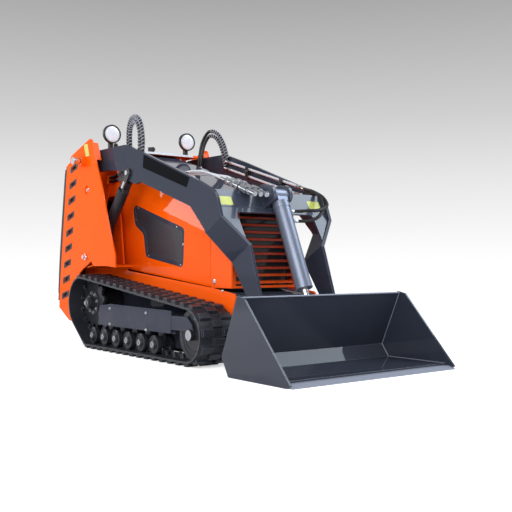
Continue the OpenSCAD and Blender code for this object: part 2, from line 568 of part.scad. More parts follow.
module front_grille() color(ORANGE) {
  z0 = 409;
  side_z = crease[1][1];
  top_z = roof[1][1] - 8;
  face = [[-body_half, z0], [body_half, z0], [body_half, side_z], [roof_half, top_z], [-roof_half, top_z],
    [-body_half, side_z]];
  hole = [[-opening_half, z0 + 14], [opening_half, z0 + 14], [opening_half, side_z],
    [roof_half - 16, opening_top], [16 - roof_half, opening_top], [-opening_half, side_z]];
  multmatrix([[0, 0, 1, front_x - sheet_t], [1, 0, 0, 0], [0, 1, 0, 0], [0, 0, 0, 1]])
    linear_extrude(sheet_t) difference() {
      polygon(face);
      polygon(hole);
    }
  // returns along the sides and over the top
  for (s = [-1, 1]) side_sheet(s, body_half, sheet_t)
    polygon([[266, z0], [front_x, z0], [front_x, side_z], [266, crease_z(266)]]);
  across(-opening_half - 10, opening_half + 10) polygon([[front_x - 38, z0], [front_x, z0],
    [front_x, z0 + 6], [front_x - 38, z0 + 6]]);
  // slanted louvre slats
  for (k = [0 : louvre_count - 1]) {
    z = z0 + 24 + k * louvre_pitch;
    half = z < side_z ? opening_half : opening_half - (z - side_z) * 0.16;
    across(-half - 6, half + 6) polygon([[front_x - sheet_t, z], [front_x - sheet_t, z + 12],
      [front_x - 36, z + 18], [front_x - 36, z + 14], [front_x - sheet_t - 4, z + 8], [front_x - sheet_t - 4, z]]);
  }
  for (s = [-1, 1]) side_sheet(s, opening_half + 12, 6)
    polygon([[front_x - 40, z0 + 6], [front_x - sheet_t, z0 + 6], [front_x - sheet_t, side_z],
      [front_x - 40, side_z]]);
}
module engine_block() color(SLATE) {
  wide = body_half - 65;
  translate([-330, -wide, 420]) cube([480, 2 * wide, 330]);
  for (s = [-1, 1]) translate([-300, s * 120 - 20, 148]) cube([420, 40, 272]);
  // radiator right behind the grille
  translate([358, -body_half + 39, 397]) cube([67.7, 2 * body_half - 78, 420]);
  translate([140, -60, 440]) cube([230, 120, 120]);
}

// ---------- Tracks ----------
// Belt loop around the first roller, the idler and the sprocket: rows of [centre, radius]
function wheels(r_off) = [[roller_0, roller_d / 2 + belt_t + r_off],
  [idler_c, idler_c[1] - lug_h + r_off], [sprocket_c, belt_out_r + r_off]];
function leg_normal(a, b) = let (d = unit(b[0] - a[0]), s = (a[1] - b[1]) / norm(b[0] - a[0]))
  sqrt(1 - s * s) * [d[1], -d[0]] + s * d;
function angle(v) = atan2(v[1], v[0]);
function leg_len(a, b) = sqrt(pow(norm(b[0] - a[0]), 2) - pow(a[1] - b[1], 2));
// Stretches of the loop: [wheel centre, radius, normal angle in, turn, straight length after it]
belt = let (w = wheels(0)) [for (i = [0 : 2]) let (before = leg_normal(w[(i + 2) % 3], w[i]),
    after = leg_normal(w[i], w[(i + 1) % 3]), turn = (angle(after) - angle(before) + 720) % 360)
  [w[i][0], w[i][1], angle(before), turn, leg_len(w[i], w[(i + 1) % 3])]];
function arc_len(b) = b[1] * b[3] * PI / 180;
loop_len = arc_len(belt[0]) + belt[0][4] + arc_len(belt[1]) + belt[1][4] + arc_len(belt[2]) + belt[2][4];
// Normal of the loop and point at distance s along it, moved outward by off
function belt_at(s, off, i = 0) = let (b = belt[i], a = arc_len(b))
  s < a ? b[0] + (b[1] + off) * [cos(b[2] + b[3] * s / a), sin(b[2] + b[3] * s / a)] :
  s < a + b[4] || i == 2 ? let (n = [cos(b[2] + b[3]), sin(b[2] + b[3])])
    b[0] + (b[1] + off) * n + (s - a) * [-n[1], n[0]] :
  belt_at(s - a - b[4], off, i + 1);
function on_belt(s, off) = belt_at((s + loop_len) % loop_len, off);
lug_step = loop_len / lug_count;
// Solid shape inside the loop, moved outward by r_off
module loop_area(r_off) {
  w = wheels(r_off);
  for (i = [0 : 2]) translate(w[i][0]) circle(r = w[i][1], $fn = 96);
  polygon([for (i = [0 : 2]) let (r = w[i][1] - 0.03, a = leg_normal(w[(i + 2) % 3], w[i]),
    b = leg_normal(w[i], w[(i + 1) % 3])) each [w[i][0] + r * a, w[i][0] + r * b]]);
}
// A row of blocks standing on the belt; form is [start, top start, top end, end] in lug steps
lug_form = [0, 0.1, 0.44, 0.54];
horn_form = [0.1, 0.2, 0.36, 0.46];
module cleats(form, phase, base, h) {
  for (k = [0 : lug_count - 1])
    polygon([for (j = [0 : 3]) on_belt((k + phase + form[j]) * lug_step, j == 1 || j == 2 ? base + h : base)]);
}
horn_y = 12;       // the sprocket runs between two rows of horns
horn_t = 12;
wheel_in = horn_y + horn_t + 4;    // rollers and idler run outside the horns
module track(side) color(BLACK) {
  mid = track_mid;
  half = track_width / 2;
  side_sheet(side, mid + half, track_width) difference() {
    loop_area(0);
    loop_area(-belt_t);
  }
  // three staggered rows of tread lugs, set in from the belt's edges
  row = (track_width - 24) / 3;
  for (k = [0 : 2]) side_sheet(side, mid + half - 12 - k * row, row)
    cleats(lug_form, k == 1 ? 0.5 : 0, -2, lug_h + 2);
  for (y = [mid + horn_y + horn_t, mid - horn_y])
    side_sheet(side, y, horn_t) cleats(horn_form, 0.2, 2 - belt_t, -horn_h - 2);
}
module track_frame(side) color(SLATE) {
  mid = track_mid;
  // outer cover plate, beam and the arms that join it to the chassis
  side_sheet(side, mid + 75, 10) polygon([[-650, 280], [-500, 296], [232, 286], [228, 162], [-672, 160]]);
  side_sheet(side, mid + 66, 18) polygon([[-636, 270], [-500, 284], [220, 275], [216, 172], [-640, 170]]);
  side_sheet(side, mid + 49, 98) polygon([[-640, 262], [232, 258], [232, 158], [-690, 158]]);
  // guard plate behind the rollers
  side_sheet(side, mid - 60, 8) polygon([[-690, 180], [290, 180], [290, 60], [-640, 60], [-760, 90]]);
  // fork that holds the idler
  for (y = [mid + 72, mid - 63]) side_sheet(side, y, 9) difference() {
    polygon(rounded([[200, 260, 0], [392, 260, 16], [440, 222, 20], [458, 166, 26], [432, 130, 26],
      [400, 160, 20], [380, 186, 0], [200, 182, 0]]));
    translate(idler_c) circle(d = 60 + 2 * gap);
  }
  side_sheet(side, mid - 48, 24) polygon([[140, 254], [276, 250], [276, 190], [140, 186]]);
  // hangers between the roller halves; the first leans back under the sprocket
  for (k = [0 : 5]) let (c = [roller_0[0] + k * roller_pitch, roller_0[1]], lean = k == 0 ? 96 : 0)
    side_sheet(side, mid + 9, 18) difference() {
      polygon([[c[0] + lean - 30, 166], [c[0] + lean + 30, 166], c + [17, -8], c + [8, -18], c + [-8, -18],
        c + [-17, -8]]);
      translate(c) circle(d = 22 + 2 * gap);
    }
  for (x = [-420, 120]) translate([x, side > 0 ? body_half + gap : -(mid - 40), 170])
    cube([90, mid - 40 - body_half - gap, 60]);
}
module rollers(side) color(SLATE) {
  mid = track_mid;
  for (k = [0 : 5]) {
    c = [roller_0[0] + k * roller_pitch, roller_0[1]];
    side_bar(side, c, mid - 58, mid + 66, 22);
    for (y = [mid - 56, mid + wheel_in]) side_bar(side, c, y, y + 56 - wheel_in, roller_d - 2 * gap);
    // recessed faces with a hub cap
    side_bar(side, c, mid + 56, mid + 62, 44);
  }
}
tooth_count = 13;
module sprocket(side) color(BLACK) {
  mid = track_mid;
  r_tip = belt_out_r - belt_t - gap;
  t = 360 / tooth_count;
  wide = horn_y - 2;
  side_sheet(side, mid + wide, 2 * wide) polygon([for (i = [0 : tooth_count - 1])
    each [for (j = [[0.06, -26], [0.3, 0], [0.55, 0], [0.79, -26]])
      sprocket_c + (r_tip + j[1]) * [cos(t * (i + j[0])), sin(t * (i + j[0]))]]]);
  side_bar(side, sprocket_c, mid + wide, mid + wide + 6, 172);
  side_bar(side, sprocket_c, mid + wide + 6, mid + 48, 82);
  side_bar(side, sprocket_c, mid + 48, mid + 59, 66);
  // final drive, carried by the chassis wall
  side_bar(side, sprocket_c, body_half + gap, mid - wide, 196);
}
module idler(side) color(BLACK) {
  mid = track_mid;
  r = idler_c[1] - lug_h - belt_t - gap;
  side_bar(side, idler_c, mid - wheel_in, mid + wheel_in, 2 * (r - horn_h - 4));
  for (y = [mid - 56, mid + wheel_in]) side_bar(side, idler_c, y, y + 56 - wheel_in, 2 * r);
  side_bar(side, idler_c, mid - 72, mid + 63, 59);
  side_bar(side, idler_c, mid + 63, mid + 88, 59);
}

bucket_shell();
cutting_edge();
coupler_plate();
arm(-1);  // arm_right
arm(1);  // arm_left
arm_crossmember();
arm_tubes();
quick_couplers();
tilt_barrel();
tilt_rod();
tilt_hoses();
lift_barrel(-1);  // lift_barrel_right
lift_barrel(1);  // lift_barrel_left
lift_rod(-1);  // lift_rod_right
lift_rod(1);  // lift_rod_left
hose_loop(-1);  // hose_loop_right
hose_loop(1);  // hose_loop_left
chassis_tub();
side_plate(-1);  // side_plate_right
side_plate(1);  // side_plate_left
tower(-1);  // tower_right
tower(1);  // tower_left
rear_panel();
control_console();
control_levers();
work_lamps();
pivot_pins();
hood_top();
hood_sides();
side_panel(-1);  // side_panel_right
side_panel(1);  // side_panel_left
mesh_window(-1);  // mesh_window_right
mesh_window(1);  // mesh_window_left
front_grille();
engine_block();
track_frame(-1);  // track_frame_right
track_frame(1);  // track_frame_left
track(-1);  // track_right
track(1);  // track_left
sprocket(-1);  // sprocket_right
sprocket(1);  // sprocket_left
idler(-1);  // idler_right
idler(1);  // idler_left
rollers(-1);  // rollers_right
rollers(1);  // rollers_left
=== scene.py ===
# %% [markdown]
# # A compact track loader
# Once the frame is loaded, every welded or turned piece of the machine is at its real place. What
# is left is what a paint shop and a fitter do: the finishes, the bolts, the hoses and their
# fittings, the lamps' glass and the studio.
# %% Load the machine
import bpy, bmesh, json, math
from mathutils import Vector, Matrix


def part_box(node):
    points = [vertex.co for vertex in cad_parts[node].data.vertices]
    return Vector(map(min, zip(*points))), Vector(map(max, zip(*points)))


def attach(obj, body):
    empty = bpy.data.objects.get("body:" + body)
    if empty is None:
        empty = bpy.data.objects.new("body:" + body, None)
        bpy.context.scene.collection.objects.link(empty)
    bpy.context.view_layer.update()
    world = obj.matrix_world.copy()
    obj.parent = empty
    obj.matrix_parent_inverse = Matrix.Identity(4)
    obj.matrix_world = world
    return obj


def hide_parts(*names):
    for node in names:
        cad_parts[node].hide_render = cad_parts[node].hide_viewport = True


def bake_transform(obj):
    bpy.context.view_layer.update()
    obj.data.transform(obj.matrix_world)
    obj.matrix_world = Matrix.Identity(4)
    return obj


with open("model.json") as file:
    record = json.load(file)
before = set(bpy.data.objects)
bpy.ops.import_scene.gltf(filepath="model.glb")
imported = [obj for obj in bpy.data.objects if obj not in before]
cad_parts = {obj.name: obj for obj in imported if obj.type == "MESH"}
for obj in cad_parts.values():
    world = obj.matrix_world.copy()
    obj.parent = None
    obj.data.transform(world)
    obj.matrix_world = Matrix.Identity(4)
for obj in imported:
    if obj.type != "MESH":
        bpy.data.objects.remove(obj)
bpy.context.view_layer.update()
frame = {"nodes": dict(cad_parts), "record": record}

# %% [markdown]
# ## Reading the frame
# Many bolts and trims take their positions from the box of a named piece: `low` and `high` are
# its two corners. Most pieces come in pairs, so a position is written once and multiplied by the
# side: -1 on the right, where y is negative, and 1 on the left. All sizes are in metres.
# %% Helpers for places
def low(node): return Vector(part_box(node)[0])
def high(node): return Vector(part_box(node)[1])
def middle(node): return (low(node) + high(node)) / 2
def face(node, side): return side * high(node + "_left").y
SIDES = ("right", -1), ("left", 1)
FORWARD, LEFT, UP = (1, 0, 0), (0, 1, 0), (0, 0, 1)
record = frame["record"]
joint = {j["name"]: j for j in record["behaviour"]["joints"]}
arm_pivot = Vector(joint["lift"]["pos_m"])
bucket_hinge = Vector(joint["bucket_tilt"]["pos_m"])
print("arm pivot", tuple(arm_pivot), "bucket hinge", tuple(bucket_hinge))

# %% [markdown]
# ## The camera
# It looks at the machine from its front right corner, from below waist height and some five
# metres away, with a normal lens. It stands nearly level, so upright edges stay upright.
# %% Camera
def placed(name, data):
    made = bpy.data.objects.new(name, data)
    bpy.context.scene.collection.objects.link(made)
    return made
def aimed(turn, lift, roll):
    "Rotation of a camera that looks along a compass turn, raised by lift, all in degrees"
    a, e, r = (math.radians(v) for v in (turn, lift, roll))
    ahead = Vector((-math.sin(a) * math.cos(e), math.cos(a) * math.cos(e), math.sin(e)))
    right = Vector((math.cos(a), math.sin(a), 0))
    up = right.cross(ahead)
    right, up = (right * math.cos(r) + up * math.sin(r), up * math.cos(r) - right * math.sin(r))
    return Matrix((right, up, -ahead)).transposed()
lens = bpy.data.cameras.new("studio_camera")
lens.lens, lens.sensor_width = 55.35, 36
camera = placed("studio_camera", lens)
stand = Matrix.Translation((3.969, -2.704, 0.5365))
camera.matrix_world = stand @ aimed(turn=53.03, lift=0.66, roll=-0.15).to_4x4()
bpy.context.scene.camera = camera
print("camera at", tuple(round(c, 2) for c in camera.location))

# %% [markdown]
# ## Finishes as sums
# A finish is a recipe: a base colour, a little dirt where dirt gathers, a roughness that varies.
# Written as node boxes such a recipe is hard to read, so one small class lets a node's output
# be added and multiplied like a number, and one method adds any other node.
# %% The recipe book
def maths(how, swapped=False):
    "An operator that puts a Math node behind two values"
    return lambda a, b: a.finish.node("Math", {"operation": how},
        {0: b, 1: a} if swapped else {0: a, 1: b})
class Sum:
    "An output of a node, to be used in expressions"
    def __init__(self, finish, socket): self.finish, self.socket = finish, socket
    __add__, __radd__ = maths("ADD"), maths("ADD", swapped=True)
    __sub__, __rsub__ = maths("SUBTRACT"), maths("SUBTRACT", swapped=True)
    __mul__, __rmul__ = maths("MULTIPLY"), maths("MULTIPLY", swapped=True)
    __gt__, __lt__, __mod__ = maths("GREATER_THAN"), maths("LESS_THAN"), maths("FLOORED_MODULO")
    def __abs__(self): return self.finish.node("Math", {"operation": "ABSOLUTE"}, {0: self})
    def clamp(self): return self.finish.node("Clamp", {}, {0: self})

class Finish:
    "One material, or the world, under construction"
    def __init__(self, owner, last="OutputMaterial"):
        "owner is a new material's name, or something that already has a node tree"
        self.material = bpy.data.materials.new(owner) if isinstance(owner, str) else owner
        self.material.use_nodes = True
        self.tree = self.material.node_tree
        self.tree.nodes.clear()
        self.out = self.tree.nodes.new("ShaderNode" + last)
    def node(self, kind, settings=None, inputs=None, output=0):
        "Any shader node, with its settings, its inputs and which output is wanted"
        made = self.tree.nodes.new("ShaderNode" + kind)
        for key, value in (settings or {}).items():
            if key == "stops":
                ramp = made.color_ramp
                while len(ramp.elements) > 1: ramp.elements.remove(ramp.elements[-1])
                ramp.elements[0].position, ramp.elements[0].color = value[0]
                for at, colour in value[1:]: ramp.elements.new(at).color = colour
            else: setattr(made, key, value)
        for key, value in (inputs or {}).items():
            socket = made.inputs[key]
            if isinstance(value, Sum): self.tree.links.new(value.socket, socket)
            else: socket.default_value = value
        return Sum(self, made.outputs[output])
    def place(self): return self.node("TexCoord", output="Object")
    def axis(self, which):
        return self.node("SeparateXYZ", {}, {0: self.place()}, "XYZ".index(which))
    def stretch(self, scale):
        return self.node("Mapping", {}, {"Vector": self.place(), "Scale": scale})
    def noise(self, scale, detail=3.0, rough=0.5, at=None):
        return self.node("TexNoise", {}, {"Vector": at or self.place(), "Scale": scale,
            "Detail": detail, "Roughness": rough})
    def fade(self, value, a, b, to_a=0.0, to_b=1.0):
        "to_a where the value is a or beyond, to_b where it is b or beyond, even between"
        return self.node("MapRange", {}, {"Value": value, 1: a, 2: b, 3: to_a, 4: to_b})
    def mix(self, share, a, b):
        return self.node("Mix", {"data_type": "RGBA"}, {0: share, 6: a, 7: b}, output=2)
    def rounded_normal(self, radius):
        return self.node("Bevel", {"samples": 4}, {"Radius": radius})
    def edge(self, radius):
        "1 along sharp edges, 0 on flats: how far a rounded edge would turn away from the real one"
        flat = self.node("NewGeometry", output="Normal")
        agree = self.node("VectorMath", {"operation": "DOT_PRODUCT"},
            {0: self.rounded_normal(radius), 1: flat}, output="Value")
        return self.fade(agree, 0.985, 0.80)
    def bump(self, height, distance, strength=1.0, round_edge=0.0):
        inputs = {"Height": height, "Distance": distance, "Strength": strength}
        if round_edge: inputs["Normal"] = self.rounded_normal(round_edge)
        return self.node("Bump", {}, inputs)
    def shown(self, shader):
        self.tree.links.new(shader.socket, self.out.inputs["Surface"])
        return self.material
    def surface(self, **sockets):
        inputs = {key.replace("_", " "): value for key, value in sockets.items()}
        return self.shown(self.node("BsdfPrincipled", {}, inputs))

def rgb(red, green, blue):
    "A paint colour as it is read off a chart, turned into light"
    return tuple(((c / 255 + 0.055) / 1.055) ** 2.4 if c > 10 else c / 255 / 12.92
        for c in (red, green, blue)) + (1,)
def grey(level): return rgb(level, level, level)
def shade(colour, by): return tuple(c * by for c in colour[:3]) + (1,)
print("recipe book ready")

# %% [markdown]
# ## Powder coat
# The sheet metal is powder coated: a thick even skin with a faint orange peel. Where the skin
# wraps a cut edge it catches the light, so edges get a painted highlight, lighter in patches, and a
# bevelled normal rounds them without touching the mesh. Only a breath of dust lies low down.
# The louvres get a finish of their own, which turns deeper and redder towards the top as painted
# shade, but only between the grille's two cheeks.
# %% Painted metal
PEEL, PAINT_EDGE, EDGE_ROUND = 0.00005, 0.0022, 0.002
def painted(name, colour, rough, edge_colour, gloss, shine, dust=0.10):
    f = Finish(name)
    lower = f.fade(f.axis("Z"), 0.45, 0.0)
    dusty = (lower * f.fade(f.noise(9.0, 6.0, 0.62), 0.42, 0.75) * dust).clamp()
    patch = f.fade(f.noise(3.1, 4.0), 0.3, 0.7, 0.0, 0.5)
    coat = f.mix(patch, colour, shade(colour, 0.9))
    # Painted highlight: cut edges are drawn lighter towards edge_colour, in patches.
    edge_highlight = f.edge(PAINT_EDGE) * f.fade(f.noise(22.0, 4.0, 0.6), 0.25, 0.6, 0.45, 1.0)
    base = f.mix(edge_highlight * 0.55, f.mix(dusty, coat, rgb(150, 146, 140)), edge_colour)
    scuff = f.fade(f.noise(60.0, 2.0, 0.5, f.stretch((1, 1, 6))), 0.55, 0.8)
    return f.surface(Base_Color=base, Roughness=rough + 0.10 * scuff + 0.3 * dusty,
        Normal=f.bump(f.noise(300.0, 1.0), PEEL, 1.0, EDGE_ROUND), Coat_Weight=gloss,
        Coat_Roughness=0.04, Specular_IOR_Level=shine)
bright_orange = rgb(250, 92, 8)
orange = painted("orange_powder_coat", bright_orange, 0.62, rgb(255, 150, 96), 0.30, 0.0)
slate = painted("slate_powder_coat", rgb(54, 58, 71), 0.62, rgb(158, 166, 186), 0.34, 0.0)
dark = painted("black_powder_coat", rgb(38, 39, 45), 0.45, rgb(112, 116, 126), 0.40, 0.12, 0.03)
glossy = painted("slate_gloss_coat", rgb(62, 68, 84), 0.34, rgb(180, 188, 204), 0.60, 0.30)
bucket_coat = painted("bucket_slate_coat", rgb(46, 51, 64), 0.55, rgb(222, 226, 234), 0.64, 0.1,
    0.02)
def louvre_painted_shade(half_width=0.226, lit_z=0.43, shaded_z=0.56):
    f = Finish("louvre_red_coat")
    # Painted shade: deeper red towards the top, only between the grille's cheeks.
    between_cheeks = abs(f.axis("Y")) < half_width
    share = f.fade(f.axis("Z") + 0.06 * f.noise(7.0, 3.0), lit_z, shaded_z) * between_cheeks
    tone = f.mix(share, bright_orange, rgb(140, 42, 22))
    # Painted highlight: the louvres' edges are drawn lighter.
    base = f.mix(f.edge(PAINT_EDGE) * 0.4, tone, rgb(236, 128, 92))
    return f.surface(Base_Color=base, Roughness=0.45 + 0.1 * f.noise(40.0, 2.0),
        Normal=f.bump(f.noise(300.0, 1.0), PEEL, 1.0, EDGE_ROUND), Coat_Weight=0.2,
        Coat_Roughness=0.08, Specular_IOR_Level=0.1)
louvre_red = louvre_painted_shade()
print("painted finishes:", orange.name, slate.name, dark.name)

# %% [markdown]
# ## Rubber and plastic
# The tracks are moulded rubber, near black with a cool sheen. Their edges get a painted highlight,
# drawn lighter. Hoses and plastic caps are smoother.
# %% Rubber
def rubber(name, colour, rough, dust, edge_colour=None):
    f = Finish(name)
    dusty = (f.fade(f.noise(14.0, 6.0, 0.65), 0.45, 0.75) * dust).clamp()
    base = f.mix(dusty, colour, rgb(96, 95, 96))
    # Painted highlight: the rubber's edges are drawn lighter towards edge_colour.
    if edge_colour: base = f.mix(f.edge(0.004) * 0.6, base, edge_colour)
    return f.surface(Base_Color=base, Roughness=rough + 0.2 * dusty,
        Normal=f.bump(f.noise(260.0, 3.0), 0.0004, 0.8, 0.003))
track_rubber = rubber("track_rubber", rgb(33, 36, 43), 0.44, 0.05, rgb(112, 119, 134))
hose_rubber = rubber("hose_rubber", rgb(15, 16, 20), 0.40, 0.03)
moulded = rubber("moulded_plastic", rgb(26, 27, 30), 0.42, 0.05)
guard_grey = rubber("hose_guard_grey", rgb(150, 152, 164), 0.34, 0.10)
print("rubber finishes ready")

# %% [markdown]
# ## Bare metal
# Pins and rods are hard chrome, couplings and tubes are zinc plated, the cutting edge is a slate
# bar that the ground has already rubbed nearly bare along its length. The last number of a metal
# says how bare it is: 1 is clean metal, and less lets some of a grey coat through.
# %% Bare metal
def metal(name, colour, rough, grain=(1, 1, 1), streak=0.1, bare=1.0):
    f = Finish(name)
    line = f.noise(90.0, 3.0, 0.6, f.stretch(grain))
    base = f.mix(f.fade(line, 0.3, 0.8, 0.0, 0.35), colour, shade(colour, 0.6))
    return f.surface(Base_Color=base,
        Metallic=bare, Roughness=rough + streak * line, Normal=f.bump(line, 0.0001, 0.5, 0.0015))
chrome = metal("hard_chrome", rgb(232, 234, 238), 0.10, (1, 1, 1), 0.08)
zinc = metal("zinc_plate", rgb(214, 217, 222), 0.20, (1, 8, 1), 0.15)
satin = metal("satin_coupling", rgb(176, 179, 186), 0.26, (1, 8, 1), 0.15, 0.9)
bright_tube = metal("bright_tube", rgb(214, 217, 224), 0.30, (1, 8, 1), 0.10, 0.12)
barrel_grey = metal("satin_grey_barrel", rgb(130, 138, 157), 0.32, (1, 1, 1), 0.08, 0.62)
edge_steel = metal("edge_steel", rgb(150, 156, 171), 0.34, (12, 1, 1), 0.22, 0.35)
print("metals ready")

# %% [markdown]
# ## Two finishes in one piece
# The lift cylinders' rods are chrome, but the clevis on their end is a black casting with a
# chrome pin. Both are one turned piece, so the finish asks how far a point is from the machine's
# middle and how far along the rod it lies, and picks metal or paint there.
# %% Rod and clevis
rod_axis = Vector(joint["lift_rod_slide_right"]["axis"])
lift_base = Vector(joint["lift_cylinder_swing_right"]["pos_m"])
pin_from_base, clevis_long, clevis_half = 0.703, 0.1185, 0.0236
def rod_and_clevis():
    f = Finish("chrome_rod_black_clevis")
    along = f.axis("X") * rod_axis.x + f.axis("Z") * rod_axis.z
    pin_at = pin_from_base + lift_base.x * rod_axis.x + lift_base.z * rod_axis.z
    stub = abs(abs(f.axis("Y")) - abs(lift_base.y)) > clevis_half
    shaft = along < pin_at - clevis_long
    shiny = (stub + shaft).clamp()
    line = f.noise(120.0, 2.0)
    return f.surface(Base_Color=f.mix(shiny, rgb(30, 31, 35), rgb(232, 234, 238)), Metallic=shiny,
        Roughness=0.42 - 0.30 * shiny + 0.06 * line, Normal=f.bump(line, 0.0001, 0.5, 0.002))
clevis = rod_and_clevis()
print("clevis finish ready")

# %% [markdown]
# ## Perforated window plate
# The window in the side panel is a dark plate with a field of fine holes that lets the engine
# breathe. They are about 5 mm wide, so they are painted in as dots on a staggered grid, with a
# bump that sinks them, in place of thousands of cut edges.
# %% Perforated plate
def perforated(step_x=0.009, step_z=0.0156, hole_r=0.0027):
    f = Finish("perforated_slate")
    def dots(dx, dz):
        x = (f.axis("X") + dx) % step_x - step_x / 2
        z = (f.axis("Z") + dz) % step_z - step_z / 2
        return (x * x + z * z) < hole_r * hole_r
    far = 10.0      # keeps every place positive
    hole = (dots(far, far) + dots(far + step_x / 2, far + step_z / 2)).clamp()
    plate = f.mix(f.fade(f.noise(4.0, 4.0), 0.3, 0.7), rgb(47, 49, 56), rgb(59, 61, 68))
    # Painted shade: the holes are near black for the dark space behind the plate.
    return f.surface(Base_Color=f.mix(hole, plate, rgb(14, 14, 16)), Roughness=0.38 + 0.3 * hole,
        Normal=f.bump(1 - hole, 0.001, 0.7), Coat_Weight=0.2, Coat_Roughness=0.1)
window_mesh = perforated()
print("window finish ready")

# %% Give every piece its finish
finish_of = {"orange_paint": orange, "slate_paint": slate, "black_paint": dark, "bare_steel": zinc,
    "pin_chrome": chrome, "track_rubber": track_rubber, "hose_rubber": hose_rubber,
    "black_plastic": moulded, "engine_iron": dark}
special = {"bucket_shell": bucket_coat, "cutting_edge": edge_steel, "tilt_barrel": barrel_grey,
    "arm_crossmember": glossy, "front_grille": louvre_red, "arm_tubes": bright_tube,
    "quick_couplers": satin, "lift_rod_right": clevis, "lift_rod_left": clevis,
    "mesh_window_right": window_mesh, "mesh_window_left": window_mesh}
for part in record["subparts"]:
    mesh = frame["nodes"][part["node"]].data
    mesh.materials.clear()
    mesh.materials.append(special.get(part["node"]) or finish_of[part["material_slot"]])
print("finished", len(record["subparts"]), "pieces")

# %% [markdown]
# ## Small parts shop
# Bolts, ferrules and rings are all turned shapes: a profile of distances and radii spun about a
# line, with six sides for a hexagon head. `turned` adds one to a mesh, and `fitted` closes a mesh
# and bolts it onto its body. Many small parts share one mesh, because they move together.
# %% Turned shapes
def circle(sides, radius=1):
    turns = [2 * math.pi * k / sides for k in range(sides)]
    return [(radius * math.cos(t), radius * math.sin(t)) for t in turns]
def skin(shape, a, b):
    "The band of faces between two closed rows of points"
    n = len(a)
    return [shape.faces.new((a[k], a[(k + 1) % n], b[(k + 1) % n], b[k])) for k in range(n)]
def turned(shape, profile, place, along, sides=20):
    "profile is a row of (distance along, radius)"
    turn = Vector(along).to_track_quat("Z", "Y").to_matrix()
    rings = [[shape.verts.new(Vector(place) + turn @ Vector((r * c, r * s, x)))
        for c, s in circle(sides)] for x, r in profile]
    for a, b in zip(rings, rings[1:]): skin(shape, a, b)
    shape.faces.new(rings[0][::-1])
    shape.faces.new(rings[-1])
def fitted(name, shape, finishes, body="machine", crease=35):
    "Closes a mesh, gives it its finishes and lets it ride on a body"
    mesh = bpy.data.meshes.new(name)
    bmesh.ops.recalc_face_normals(shape, faces=shape.faces)
    for f in shape.faces: f.smooth = True
    for e in shape.edges: e.smooth = e.is_manifold and e.calc_face_angle(3.0) < math.radians(crease)
    shape.to_mesh(mesh)
    shape.free()
    made = placed(name, mesh)
    for finish in finishes if isinstance(finishes, list) else [finishes]:
        mesh.materials.append(finish)
    if body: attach(made, body)
    return made
def bolt(shape, place, out, size):
    "A hexagon head of that size across its corners on its washer"
    r = size / 2
    turned(shape, [(-0.001, r * 1.28), (r * 0.16, r * 1.28), (r * 0.2, r * 1.2)], place, out, 20)
    turned(shape, [(r * 0.18, r), (r * 0.75, r), (r * 0.9, r * 0.8)], place, out, 6)
def bolts(name, places, out, size, finish=zinc):
    shape = bmesh.new()
    for p in places: bolt(shape, p, out, size)
    fitted(name, shape, finish)
print("small parts shop open")

# %% [markdown]
# ## Bolts
# Each side has the same bolts: a circle of eight on the drive sprocket and one in its centre,
# two pairs on the track frame's cover and four more along the cover's upper edge.
# %% Bolts of the undercarriage
sprocket, cover = middle("sprocket_right"), high("track_frame_left").y
ring_r, ring_turn, dish = 0.065, 0.2, 0.043
cover_bolts = ((-0.505, 0.268), (-0.505, 0.172), (-0.045, 0.262), (-0.045, 0.165))
def cover_top(x): return 0.2875 - 0.01 * (x + 0.5)
for name, side in SIDES:
    out, disc = (0, side, 0), side * (high("sprocket_left").y - dish)
    ring = [(sprocket.x + ring_r * math.cos(math.pi * k / 4 + ring_turn), disc,
        sprocket.z + ring_r * math.sin(math.pi * k / 4 + ring_turn)) for k in range(8)]
    bolts("sprocket_bolts_" + name, ring, out, 0.018, satin)
    hub = (sprocket.x, face("sprocket", side), sprocket.z)
    bolts("sprocket_centre_" + name, [hub], out, 0.030, satin)
    bolts("cover_bolts_" + name, [(x, side * cover, z) for x, z in cover_bolts], out, 0.014)
    bolts("cover_edge_bolts_" + name, [(x, side * (cover - 0.018), cover_top(x))
        for x in (-0.48, -0.30, -0.14, 0.05)], UP, 0.012)
print("undercarriage bolts at", round(cover, 3))

# %% [markdown]
# ## Roller and idler hubs
# Each roller turns on an axle whose end is closed by a polished ring with a grease nipple in the
# middle. Around it the pressed roller has a boss and a raised rim, both turned rings. The idler's
# axle shows as a plain bright disc, and its face has two round ribs.
# %% Hubs
ROLLERS = 6
roller_low, roller_high = low("rollers_left"), high("rollers_left")
roller_r = (roller_high.z - roller_low.z) / 2
first, last = roller_low.x + roller_r, roller_high.x - roller_r
axle_z, idler = middle("rollers_left").z, middle("idler_left")
hub_ring = [(-0.004, 0.019), (0.003, 0.019), (0.005, 0.0165), (0.005, 0.0125), (0.0025, 0.0115),
    (0.0025, 0.0045), (0.007, 0.0045), (0.009, 0.003)]
idler_ring = [(-0.002, 0.0285), (0.001, 0.0285), (0.002, 0.0275), (0.002, 0.009), (0.0005, 0.008),
    (0.0005, 0.002)]
pitch = (last - first) / (ROLLERS - 1)
rim = [(-0.002, 0.0515), (0.0012, 0.0515), (0.003, 0.049), (0.003, 0.046), (0.0006, 0.0435),
    (-0.002, 0.0435)]
boss = [(-0.002, 0.0290), (0.003, 0.0290), (0.005, 0.0265), (0.005, 0.0225), (-0.002, 0.0220)]
def rollers_at(y): return [(first + pitch * k, y, axle_z) for k in range(ROLLERS)]
